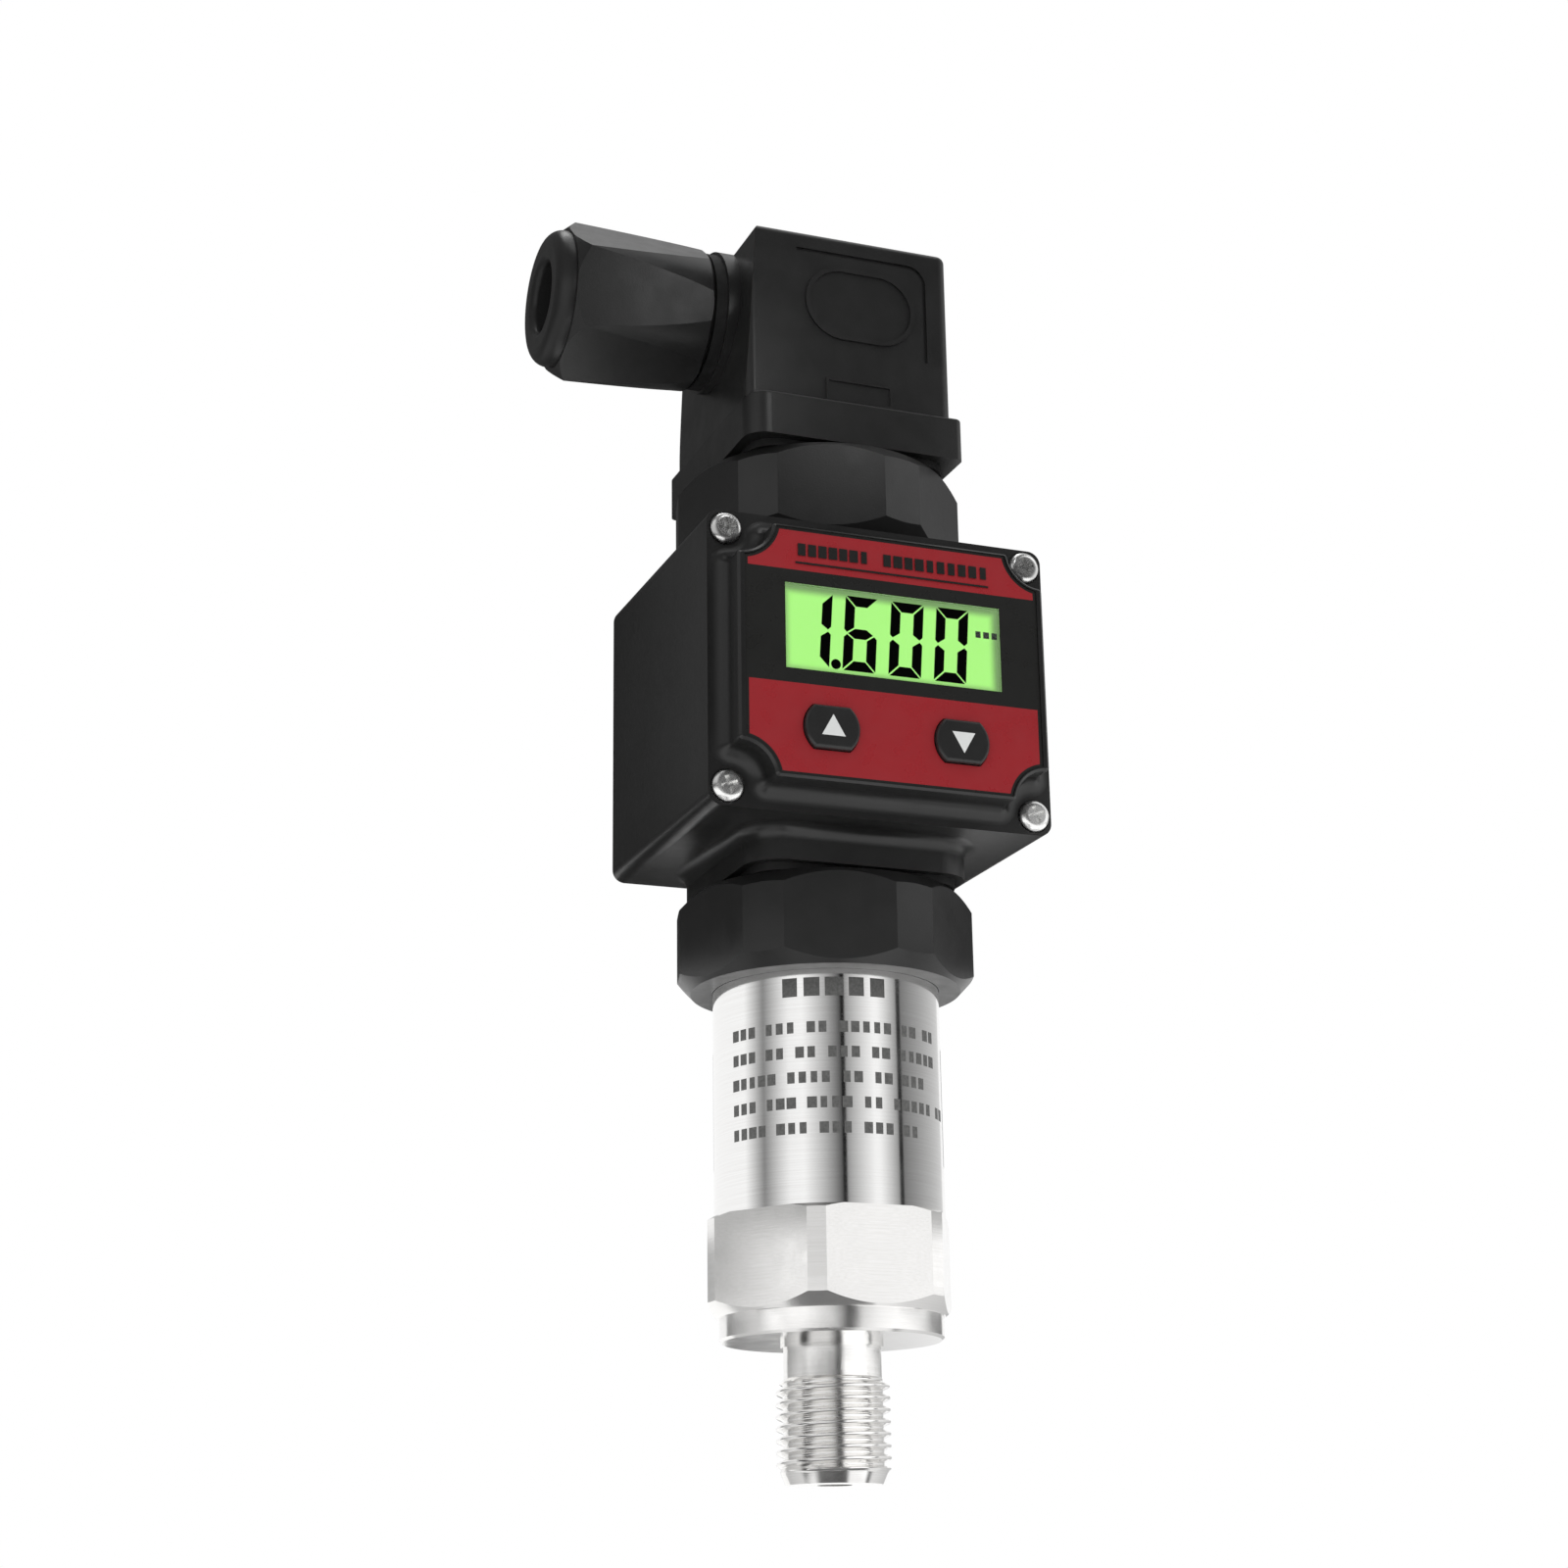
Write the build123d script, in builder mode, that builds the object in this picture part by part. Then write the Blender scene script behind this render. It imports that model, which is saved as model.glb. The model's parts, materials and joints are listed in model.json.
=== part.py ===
from build123d import *
import os

os.makedirs("parts", exist_ok=True)

# Frame: the origin is the centre of the pressure port's mouth at the stem's tip, +Z runs up the axis.
# The display looks along -Y and the cable gland points along -X. All sizes are in millimetres.

# Stem and process fitting, heights counted from the tip
thread_r = 13.157 / 2
tip_chamfer = 1.05
thread_top = 10.9
neck_r = 5.65
ring_r = 5.95
ring_h = 0.7
seal_z = 16.0
disc_r = 13.0
disc_h = 2.7
hex_af = 27.0
hex_h = 11.3
hex_corner_af = 29.92
hex_over_corner_r = 15.05
hex_turn = 2.2
port_r = 2.0
cell_floor_z = 20.0
cell_seat_r = 9.2
spigot_r = 12.2
spigot_h = 3.0

# Sensor parts inside the fitting
cell_r = 9.0
cell_h = 6.3
cell_ring_h = 1.3
cell_ring_out = 7.2
cell_ring_in = 5.8
clamp_ring_h = 3.0
clamp_bore_r = 6.5
clamp_key_reach = 7.8
clamp_key_r = 0.7

# Body tube
tube_r = 13.5
tube_wall = 1.2
tube_h = 32.0

# Union nuts
nut_af = 33.1
nut_corner_af = 35.2
nut_h = 11.3
nut_below_rim = 5.0
nut_lip_h = 3.0
nut_chamfer_r = 1.65
nut_chamfer_h = 1.75
nut_over_corner_r = 17.8
nut_turn = -15.5
thread_fit = 0.05

# Socket bases and their blades
collar_r = 13.2
base_disc_r = 11.0
pedestal_r = 10.8
pedestal_h = 4.2
base_below_rim = 4.5
groove_r = 11.2
groove_h = 1.7
blade_w = 6.3
blade_t = 0.8
blade_up = 9.0
blade_pitch = 9.0
slot_t = 2.4
slot_over = 0.3
slot_cover = 1.6
block_cover = 2.8
block_inset = 1.45
block_lift = 0.4
tail_w = 2.0
tail_down = 3.5
gasket_h = 0.95
gasket_side = 25.6
small_gap = 0.1
part_gap = 0.05

# Display housing and cover
boss_h = 4.1
collar_up = 6.0
box_w = 43.0
box_h = 36.0
box_back_y = 17.5
joint_y = -16.4
plate_y = -18.94
panel_y = -23.5
wall = 2.2
boss_side = 27.9
boss_corner_r = 4.5
boss_joint_r = 1.6
box_corner_r = 1.6
box_back_r = 1.2
screw_inset = 2.3
screw_post_r = 3.2
screw_land_r = 2.0
gasket_t = 0.5
gasket_out = 1.1
gasket_in = 0.3
panel_inset_x = 2.15
panel_inset_z = 2.7
panel_scallop_r = 4.3
panel_foot_r = 1.9
panel_wall = 1.6
panel_side_wall = 2.35
panel_end_wall = 2.1
panel_scallop_wall = 1.7
label_rim_x = 0.85
label_rim_z = 0.3
label_rim_scallop = 0.5
label_depth = 0.15
label_t = 0.35
field_rim_x = 0.4
field_rim_z = 0.35
field_t = 0.1
key_field_h = 10.65

# Window, display glass and keys
window_w = 27.1
window_h = 10.4
window_above_keys = 1.75
window_below_header = 1.65
pane_t = 0.6
segment_t = 0.08
lcd_t = 1.7
backlight_over = 0.95
backlight_t = 1.8
digit_w = 4.1
digit_h = 9.2
digit_pitch = 5.75
digit_bar = 1.2
digit_gap = 0.14
digit_nick = 0.35
digit_margin = 3.7
digit_lean = 0.07
point_r = 0.6
point_gap = 0.55
key_x = 8.13
key_up = 5.6
key_r = 3.4
key_flat = 5.2
key_fit = 0.1
key_rise = 0.7
key_travel = 0.8
key_flange = 0.65
key_flange_t = 0.95
switch_gap = 0.1
board_t = 1.6
board_gap = 0.3

# Chips on the two boards
amp_w = 16.0
amp_chip = 7.0
amp_chip_up = 9.0
amp_small_w = 3.2
amp_small_h = 2.6
amp_small_x = 6.0
amp_small_up = 17.0
amp_back_w = 4.5
amp_back_h = 5.0
amp_back_x = 4.25
amp_back_up = 12.0
chip_t = 1.5
display_chip = 10.0
display_chip_up = 2.0
side_chip_w = 5.0
side_chip_h = 4.0
side_chip_x = 11.0
side_chip_down = 3.0
switch_side = 5.2
switch_body_t = 1.0
plunger_r = 1.5
plunger_t = 0.4

# Plug, named from the flange upwards
flange_side = 28.2
flange_h = 5.6
flange_back_y = 15.8
flange_corner_r = 2.8
flange_edge_r = 0.8
plug_h = 28.6
block_front = 13.0
block_right = 13.2
block_left_top = 12.7
plug_cavity = 23.4
plug_top_t = 2.4
plug_block_h = 12.0
terminal_r = 1.7
terminal_h = 1.3
terminal_reach = 8.28
gland_up = 20.6
gland_boss_r = 9.0
gland_boss_x = -14.75
neck_thread_r = 7.6
neck_end_x = -25.0
cable_bore_r = 5.0
seal_seat_r = 6.35
seal_seat_x = -18.0
grommet_l = 6.15
grommet_bore_r = 3.2
washer_t = 1.0
gland_ring_r = 8.6
gland_ring_gap = 0.1
gland_clear = 0.3
gland_nut_x = -16.3
gland_nut_af = 17.5
gland_nut_r_in = 8.95
gland_nut_r_out = 10.1
gland_hex_end_x = -34.2
gland_front_l = 1.5
snout_r = 8.5
snout_step = 0.35
snout_end_x = -36.5
snout_round = 1.9
mouth_r = 4.4
mouth_round = 0.9
gland_hex_turn = -17.0

# Lines on the plug's front face, measured from its top and its right side
frame_down = 2.6
frame_in = 3.3
frame_r = 2.3
frame_across = 17.2
frame_drop = 13.0
frame_w = 0.6
frame_t = 0.45
badge_w = 14.7
badge_h = 9.9
badge_line = 0.6
badge_x = 1.13
badge_down = 9.3
badge_rise = 0.25
plate_w = 8.8
plate_h = 3.0
plate_line = 0.3
plate_x = 0.7
plate_down = 21.2
plate_rise = 0.2

# Small screws
shank_r = 1.45
fixing_hole_r = 1.7
fixing_head_r = 2.75
fixing_head_h = 2.0
cover_head_r = 1.9
cover_head_h = 1.15
cover_head_round = 0.75
cover_head_sink = 0.3
cover_shank_r = 1.0
cover_shank_l = 9.5
cross_l = 2.1
cross_w = 0.55
cross_depth = 0.7

disc_top = seal_z + disc_h
hex_top = disc_top + hex_h
tube_top = hex_top + tube_h
tube_in_r = tube_r - tube_wall
collar_h = 3.3
lip_top = tube_top + collar_h + nut_lip_h
boss_z = lip_top + gasket_h
box_bottom = boss_z + boss_h
box_top = box_bottom + box_h
face_z = box_bottom + box_h / 2
upper_rim = box_top + collar_up
stage_rise = upper_rim - tube_top
plug_z = lip_top + stage_rise + gasket_h
plug_top = plug_z + plug_h
flange_top = plug_z + flange_h
gland_z = plug_z + gland_up
screw_x = box_w / 2 - screw_inset
screw_z = box_h / 2 - screw_inset
panel_w = box_w - 2 * panel_inset_x
panel_h = box_h - 2 * panel_inset_z
cavity_w = panel_w - 2 * panel_side_wall
cavity_h = panel_h - 2 * panel_end_wall
cavity_scallop_r = panel_scallop_r + panel_scallop_wall
label_w = panel_w - 2 * label_rim_x
label_h = panel_h - 2 * label_rim_z
label_scallop_r = panel_scallop_r + label_rim_scallop
field_w = label_w - 2 * field_rim_x
field_h = label_h - 2 * field_rim_z
field_scallop_r = label_scallop_r + field_rim_z
header_h = field_h - key_field_h - window_above_keys - window_h - window_below_header
key_z = face_z - field_h / 2 + key_up
window_z = face_z - field_h / 2 + key_field_h + window_above_keys + window_h / 2
digit_first_x = -window_w / 2 + digit_margin


def front_plane(y, z=face_z):
    """A plane facing -Y at depth y: local x is +X, local y is +Z, and extruding goes forward."""
    return Plane(origin=(0, y, z), x_dir=(1, 0, 0), z_dir=(0, -1, 0))


def side_plane(x):
    """A plane facing +X on the gland's axis: local x is +Y, local y is +Z."""
    return Plane(origin=(x, 0, gland_z), x_dir=(0, 1, 0), z_dir=(1, 0, 0))


screw_spots = [(-screw_x, -screw_z), (screw_x, -screw_z), (screw_x, screw_z), (-screw_x, screw_z)]


def scalloped(width, height, radius):
    """A rectangle with a round bite at each cover screw."""
    with BuildSketch() as outline:
        Rectangle(width, height)
        with Locations(*screw_spots):
            Circle(radius, mode=Mode.SUBTRACT)
    return outline.sketch


def key_outlines(grow):
    """Both keys' outlines, each a circle between two flats, widened by grow."""
    with BuildSketch() as outline:
        with Locations((-key_x, 0), (key_x, 0)):
            Circle(key_r + grow)
        Rectangle(2 * (key_x + key_r + grow), key_flat + 2 * grow, mode=Mode.INTERSECT)
    return outline.sketch


def red_outline():
    """The header strip and the key field of the label, with the label's bites."""
    with BuildSketch() as outline:
        with Locations((0, field_h / 2 - header_h / 2)):
            Rectangle(field_w, header_h)
        with Locations((0, -field_h / 2 + key_field_h / 2)):
            Rectangle(field_w, key_field_h)
        with Locations(*screw_spots):
            Circle(field_scallop_r, mode=Mode.SUBTRACT)
    return outline.sketch


# process fitting
with BuildPart() as process_fitting:
    with BuildSketch(Plane.XY.offset(disc_top)):
        RegularPolygon(hex_af / 2, 6, major_radius=False, rotation=hex_turn)
        RegularPolygon(hex_corner_af / 2, 6, major_radius=False, rotation=hex_turn + 30, mode=Mode.INTERSECT)
    extrude(amount=hex_h)
    with BuildSketch(Plane.XZ):
        with BuildLine():
            Polyline(
                (0, disc_top), (disc_r + 0.2, disc_top), (hex_over_corner_r, disc_top + 1.5),
                (hex_over_corner_r, hex_top - 0.5), (hex_over_corner_r - 0.9, hex_top), (0, hex_top), (0, disc_top),
            )
        make_face()
    revolve(axis=Axis.Z, mode=Mode.INTERSECT)
    with BuildSketch(Plane.XZ):
        with BuildLine():
            Polyline(
                (0, 0), (thread_r - tip_chamfer, 0), (thread_r, tip_chamfer), (thread_r, thread_top),
                (neck_r, thread_top + thread_r - neck_r), (neck_r, seal_z - ring_h), (ring_r, seal_z - ring_h),
                (ring_r, seal_z), (disc_r - 0.3, seal_z), (disc_r, seal_z + 0.3), (disc_r, disc_top),
                (disc_r, disc_top + 1), (0, disc_top + 1), (0, 0),
            )
        make_face()
    revolve(axis=Axis.Z)
    with BuildSketch(Plane.XY.offset(hex_top)):
        Circle(spigot_r)
    extrude(amount=spigot_h)
    with BuildSketch(Plane.XY):
        Circle(port_r)
    extrude(amount=cell_floor_z, mode=Mode.SUBTRACT)
    with BuildSketch(Plane.XY.offset(cell_floor_z)):
        Circle(cell_seat_r)
    extrude(amount=hex_top + spigot_h - cell_floor_z, mode=Mode.SUBTRACT)
process_fitting.part.label = "process_fitting"
export_step(process_fitting.part, "parts/process_fitting.step")

with BuildPart() as sensor_seal_ring:
    with BuildSketch(Plane.XY.offset(cell_floor_z)):
        Circle(cell_ring_out)
        Circle(cell_ring_in, mode=Mode.SUBTRACT)
    extrude(amount=cell_ring_h)
sensor_seal_ring.part.label = "sensor_seal_ring"
export_step(sensor_seal_ring.part, "parts/sensor_seal_ring.step")

cell_z = cell_floor_z + cell_ring_h
with BuildPart() as pressure_sensor_cell:
    with BuildSketch(Plane.XY.offset(cell_z)):
        Circle(cell_r)
    extrude(amount=cell_h)
pressure_sensor_cell.part.label = "pressure_sensor_cell"
export_step(pressure_sensor_cell.part, "parts/pressure_sensor_cell.step")

cell_top = cell_z + cell_h
with BuildPart() as sensor_clamp_ring:
    with BuildSketch(Plane.XY.offset(cell_top)):
        Circle(cell_seat_r - small_gap)
        Circle(clamp_bore_r, mode=Mode.SUBTRACT)
        with PolarLocations(clamp_key_reach, 2):
            Circle(clamp_key_r, mode=Mode.SUBTRACT)
    extrude(amount=clamp_ring_h)
sensor_clamp_ring.part.label = "sensor_clamp_ring"
export_step(sensor_clamp_ring.part, "parts/sensor_clamp_ring.step")

# tube and its electronics
with BuildPart() as body_tube:
    with BuildSketch(Plane.XY.offset(hex_top)):
        Circle(tube_r)
        Circle(tube_in_r, mode=Mode.SUBTRACT)
    extrude(amount=tube_h)
body_tube.part.label = "body_tube"
export_step(body_tube.part, "parts/body_tube.step")

amp_bottom = hex_top + 3.5
amp_top = tube_top - base_below_rim + 1.5
with BuildPart() as amplifier_board:
    with BuildSketch(Plane.XY.offset(amp_bottom)):
        Rectangle(amp_w, board_t)
    extrude(amount=amp_top - amp_bottom)
amplifier_board.part.label = "amplifier_board"
export_step(amplifier_board.part, "parts/amplifier_board.step")

with BuildPart() as amplifier_chips:
    with BuildSketch(Plane.XZ.offset(board_t / 2)):
        with Locations((0, amp_bottom + amp_chip_up)):
            Rectangle(amp_chip, amp_chip)
        with Locations((-amp_small_x, amp_bottom + amp_small_up), (amp_small_x, amp_bottom + amp_small_up)):
            Rectangle(amp_small_w, amp_small_h)
    extrude(amount=chip_t)
    with BuildSketch(Plane.XZ.offset(-board_t / 2)):
        with Locations((-amp_back_x, amp_bottom + amp_back_up), (amp_back_x, amp_bottom + amp_back_up)):
            Rectangle(amp_back_w, amp_back_h)
    extrude(amount=-chip_t)
amplifier_chips.part.label = "amplifier_chips"
export_step(amplifier_chips.part, "parts/amplifier_chips.step")

with BuildPart() as sensor_ribbon:
    with BuildSketch(Plane.XY.offset(cell_top)):
        with Locations((0, board_t / 2 + 0.15)):
            Rectangle(5, 0.3)
    extrude(amount=amp_bottom + 3 - cell_top)
sensor_ribbon.part.label = "sensor_ribbon"
export_step(sensor_ribbon.part, "parts/sensor_ribbon.step")


def union_nut(rim):
    """The hexagonal nut over a threaded rim: flattened corners, cone-turned ends, an inner lip on top."""
    bottom = rim - nut_below_rim
    top = bottom + nut_h
    low_r = nut_over_corner_r - nut_chamfer_r
    with BuildPart() as nut:
        with BuildSketch(Plane.XY.offset(bottom)):
            RegularPolygon(nut_af / 2, 6, major_radius=False, rotation=nut_turn)
            RegularPolygon(nut_corner_af / 2, 6, major_radius=False, rotation=nut_turn + 30, mode=Mode.INTERSECT)
        extrude(amount=nut_h)
        with BuildSketch(Plane.XZ):
            with BuildLine():
                Polyline(
                    (0, bottom), (low_r, bottom), (nut_over_corner_r, bottom + nut_chamfer_h),
                    (nut_over_corner_r, top - nut_chamfer_h), (low_r, top), (0, top), (0, bottom),
                )
            make_face()
        revolve(axis=Axis.Z, mode=Mode.INTERSECT)
        with BuildSketch(Plane.XY.offset(bottom)):
            Circle(tube_r + thread_fit)
        extrude(amount=nut_h - nut_lip_h, mode=Mode.SUBTRACT)
        with BuildSketch(Plane.XY.offset(bottom)):
            Circle(base_disc_r + 0.3)
        extrude(amount=nut_h, mode=Mode.SUBTRACT)
    return nut


def blade_spots():
    """Four blade places, the first two with their flats across X."""
    return [(blade_pitch, 0), (-blade_pitch, 0)], [(0, blade_pitch), (0, -blade_pitch)]


def socket_base(rim, board_slot):
    """The plug base inside a union nut: spigot with a seal groove, collar, disc and round pedestal."""
    across_x, across_y = blade_spots()
    top = rim + collar_h + nut_lip_h + pedestal_h
    low = rim - base_below_rim
    with BuildPart() as base:
        with BuildSketch(Plane.XZ):
            with BuildLine():
                Polyline(
                    (0, low), (tube_in_r - small_gap, low), (tube_in_r - small_gap, rim - 3.2),
                    (groove_r, rim - 3.2), (groove_r, rim - 3.2 + groove_h),
                    (tube_in_r - small_gap, rim - 3.2 + groove_h), (tube_in_r - small_gap, rim), (collar_r, rim),
                    (collar_r, rim + collar_h), (base_disc_r, rim + collar_h),
                    (base_disc_r, rim + collar_h + nut_lip_h), (pedestal_r, rim + collar_h + nut_lip_h),
                    (pedestal_r, top - 0.5), (pedestal_r - 0.5, top), (0, top), (0, low),
                )
            make_face()
        revolve(axis=Axis.Z)
        with BuildSketch(Plane.XY.offset(rim)):
            with Locations(*across_x):
                Rectangle(blade_t + 2 * part_gap, blade_w + 2 * part_gap)
            with Locations(*across_y):
                Rectangle(blade_w + 2 * part_gap, blade_t + 2 * part_gap)
        extrude(amount=top - rim, mode=Mode.SUBTRACT)
        with BuildSketch(Plane.XY.offset(low)):
            with Locations(*across_x):
                Rectangle(blade_t + 2 * part_gap, tail_w + 2 * part_gap)
            with Locations(*across_y):
                Rectangle(tail_w + 2 * part_gap, blade_t + 2 * part_gap)
        extrude(amount=rim - low, mode=Mode.SUBTRACT)
        with BuildSketch(Plane.XY.offset(rim + 0.5)):
            Circle(shank_r + part_gap)
        extrude(amount=top - rim - 0.5, mode=Mode.SUBTRACT)
        if board_slot:
            with BuildSketch(Plane.XY.offset(low)):
                Rectangle(amp_w + 2 * small_gap, board_t + 2 * small_gap)
            extrude(amount=1.6, mode=Mode.SUBTRACT)
    return base


def base_blades(rim):
    """Three contact blades and the earth blade, each with a narrow solder tail."""
    across_x, across_y = blade_spots()
    tip = rim + collar_h + nut_lip_h + pedestal_h + blade_up
    low = rim - base_below_rim - tail_down
    with BuildPart() as blades:
        with BuildSketch(Plane.XY.offset(rim + part_gap)):
            with Locations(*across_x):
                Rectangle(blade_t, blade_w)
            with Locations(*across_y):
                Rectangle(blade_w, blade_t)
        extrude(amount=tip - rim - part_gap)
        chamfer(blades.edges().group_by(Axis.Z)[-1], 0.3)
        with BuildSketch(Plane.XY.offset(low)):
            with Locations(*across_x):
                Rectangle(blade_t, tail_w)
            with Locations(*across_y):
                Rectangle(tail_w, blade_t)
        extrude(amount=rim + part_gap - low)
    return blades


def rim_seal(rim):
    """The rubber ring in the base's groove."""
    with BuildPart() as ring:
        with BuildSketch(Plane.XY.offset(rim - 3.2 + small_gap)):
            Circle(tube_in_r - 0.02)
            Circle(groove_r + 0.02, mode=Mode.SUBTRACT)
        extrude(amount=groove_h - 2 * small_gap)
    return ring


def flat_gasket(z):
    """The square gasket between a nut's top and the piece plugged on above it."""
    with BuildPart() as gasket:
        with BuildSketch(Plane.XY.offset(z)):
            RectangleRounded(gasket_side, gasket_side, 3.5)
            Circle(base_disc_r + 0.35, mode=Mode.SUBTRACT)
        extrude(amount=gasket_h)
    return gasket


def contact_block(z_low, z_top, side, spigot_z):
    """The insert with four blade slots and a screw hole; the spigot reaches down through the floor."""
    across_x, across_y = blade_spots()
    slot_top = z_top - slot_cover
    slot_w = blade_w + 2 * slot_over
    with BuildPart() as block:
        with BuildSketch(Plane.XY.offset(z_low)):
            RectangleRounded(side, side, 1.5)
        extrude(amount=z_top - z_low)
        if spigot_z < z_low:
            with BuildSketch(Plane.XY.offset(spigot_z)):
                Circle(base_disc_r + 0.2)
            extrude(amount=z_low - spigot_z)
        with BuildSketch(Plane.XY.offset(spigot_z)):
            with Locations(*across_x):
                Rectangle(slot_t, slot_w)
            with Locations(*across_y):
                Rectangle(slot_w, slot_t)
        extrude(amount=slot_top - spigot_z, mode=Mode.SUBTRACT)
        with BuildSketch(Plane.XY.offset(spigot_z)):
            Circle(fixing_hole_r)
        extrude(amount=z_top - spigot_z, mode=Mode.SUBTRACT)
    return block


def spring_contacts(z_low, z_top):
    """Four folded contacts, each gripping one blade from both sides under a closed top."""
    across_x, across_y = blade_spots()
    fold_t = slot_t - 2 * small_gap
    with BuildPart() as contacts:
        with BuildSketch(Plane.XY.offset(z_low)):
            with Locations(*across_x):
                Rectangle(fold_t, blade_w)
            with Locations(*across_y):
                Rectangle(blade_w, fold_t)
        extrude(amount=z_top - z_low)
        with BuildSketch(Plane.XY.offset(z_low)):
            with Locations(*across_x):
                Rectangle(blade_t + 0.1, blade_w)
            with Locations(*across_y):
                Rectangle(blade_w, blade_t + 0.1)
        extrude(amount=z_top - z_low - 0.8, mode=Mode.SUBTRACT)
    return contacts


def slotted_screw(head_z, tip_z):
    """A slotted cheese-head screw standing on the axis, its head's underside at head_z."""
    with BuildPart() as screw:
        with BuildSketch(Plane.XY.offset(tip_z)):
            Circle(shank_r)
        extrude(amount=head_z - tip_z)
        with BuildSketch(Plane.XY.offset(head_z)):
            Circle(fixing_head_r)
        extrude(amount=fixing_head_h)
        chamfer(screw.edges().filter_by(GeomType.CIRCLE).group_by(Axis.Z)[-1], 0.3)
        with BuildSketch(Plane.XY.offset(head_z + fixing_head_h)):
            Rectangle(0.8, 2 * fixing_head_r + 1)
        extrude(amount=-0.9, mode=Mode.SUBTRACT)
    return screw


# lower joint
lower_union_nut = union_nut(tube_top)
lower_union_nut.part.label = "lower_union_nut"
export_step(lower_union_nut.part, "parts/lower_union_nut.step")

lower_socket_base = socket_base(tube_top, True)
lower_socket_base.part.label = "lower_socket_base"
export_step(lower_socket_base.part, "parts/lower_socket_base.step")

lower_base_blades = base_blades(tube_top)
lower_base_blades.part.label = "lower_base_blades"
export_step(lower_base_blades.part, "parts/lower_base_blades.step")

tube_seal_ring = rim_seal(tube_top)
tube_seal_ring.part.label = "tube_seal_ring"
export_step(tube_seal_ring.part, "parts/tube_seal_ring.step")

lower_gasket = flat_gasket(lip_top)
lower_gasket.part.label = "lower_gasket"
export_step(lower_gasket.part, "parts/lower_gasket.step")

floor_top = box_bottom + wall
pedestal_top = lip_top + pedestal_h
lower_block_top = pedestal_top + blade_up + block_cover
block_side = boss_side - 2 * block_inset
lower_contact_block = contact_block(floor_top, lower_block_top, block_side, pedestal_top + block_lift)
lower_contact_block.part.label = "lower_contact_block"
export_step(lower_contact_block.part, "parts/lower_contact_block.step")

lower_contacts = spring_contacts(pedestal_top + 2 * block_lift, lower_block_top - slot_cover)
lower_contacts.part.label = "lower_contacts"
export_step(lower_contacts.part, "parts/lower_contacts.step")

display_fixing_screw = slotted_screw(lower_block_top, tube_top + 1.0)
display_fixing_screw.part.label = "display_fixing_screw"
export_step(display_fixing_screw.part, "parts/display_fixing_screw.step")

# display housing
with BuildPart() as display_housing:
    with BuildSketch(front_plane(box_back_y)):
        RectangleRounded(box_w, box_h, box_corner_r)
    extrude(amount=box_back_y - joint_y)
    fillet(display_housing.faces().sort_by(Axis.Y)[-1].edges(), box_back_r)
    with BuildSketch(Plane.XY.offset(boss_z)):
        RectangleRounded(boss_side, boss_side, boss_corner_r)
    extrude(amount=box_bottom - boss_z + 0.5)
    boss_joint = display_housing.edges().filter_by_position(Axis.Z, box_bottom - 0.01, box_bottom + 0.01)
    boss_joint = boss_joint.filter_by_position(Axis.Y, -boss_side / 2 - 0.1, boss_side / 2 + 0.1)
    boss_joint = boss_joint.filter_by_position(Axis.X, -boss_side / 2 - 0.1, boss_side / 2 + 0.1)
    fillet(boss_joint, boss_joint_r)
    with BuildSketch(Plane.XY.offset(box_top - 0.5)):
        Circle(tube_r)
    extrude(amount=upper_rim - box_top + 0.5)
    with BuildSketch(front_plane(joint_y)):
        add(scalloped(box_w - 2 * wall, box_h - 2 * wall, screw_post_r))
    extrude(amount=-(box_back_y - wall - joint_y), mode=Mode.SUBTRACT)
    with BuildSketch(Plane.XY.offset(box_top - wall)):
        Circle(tube_in_r)
    extrude(amount=upper_rim - box_top + wall, mode=Mode.SUBTRACT)
    with BuildSketch(Plane.XY.offset(boss_z)):
        Circle(base_disc_r + 0.4)
    extrude(amount=floor_top - boss_z, mode=Mode.SUBTRACT)
    with BuildSketch(front_plane(joint_y)):
        with Locations(*screw_spots):
            Circle(cover_shank_r + part_gap)
    extrude(amount=-(cover_shank_l + part_gap), mode=Mode.SUBTRACT)
display_housing.part.label = "display_housing"
export_step(display_housing.part, "parts/display_housing.step")

opening_w = box_w - 2 * wall
opening_h = box_h - 2 * wall
with BuildPart() as cover_gasket:
    with BuildSketch(front_plane(joint_y)):
        add(scalloped(opening_w + 2 * gasket_out, opening_h + 2 * gasket_out, screw_land_r + small_gap))
        Rectangle(opening_w - 2 * gasket_in, opening_h - 2 * gasket_in, mode=Mode.SUBTRACT)
    extrude(amount=gasket_t)
    with BuildSketch(front_plane(joint_y)):
        with Locations(*screw_spots):
            Circle(screw_post_r)
            Circle(screw_land_r + small_gap, mode=Mode.SUBTRACT)
        Rectangle(opening_w + 2 * gasket_out, opening_h + 2 * gasket_out, mode=Mode.INTERSECT)
    extrude(amount=gasket_t)
cover_gasket.part.label = "cover_gasket"
export_step(cover_gasket.part, "parts/cover_gasket.step")

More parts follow.
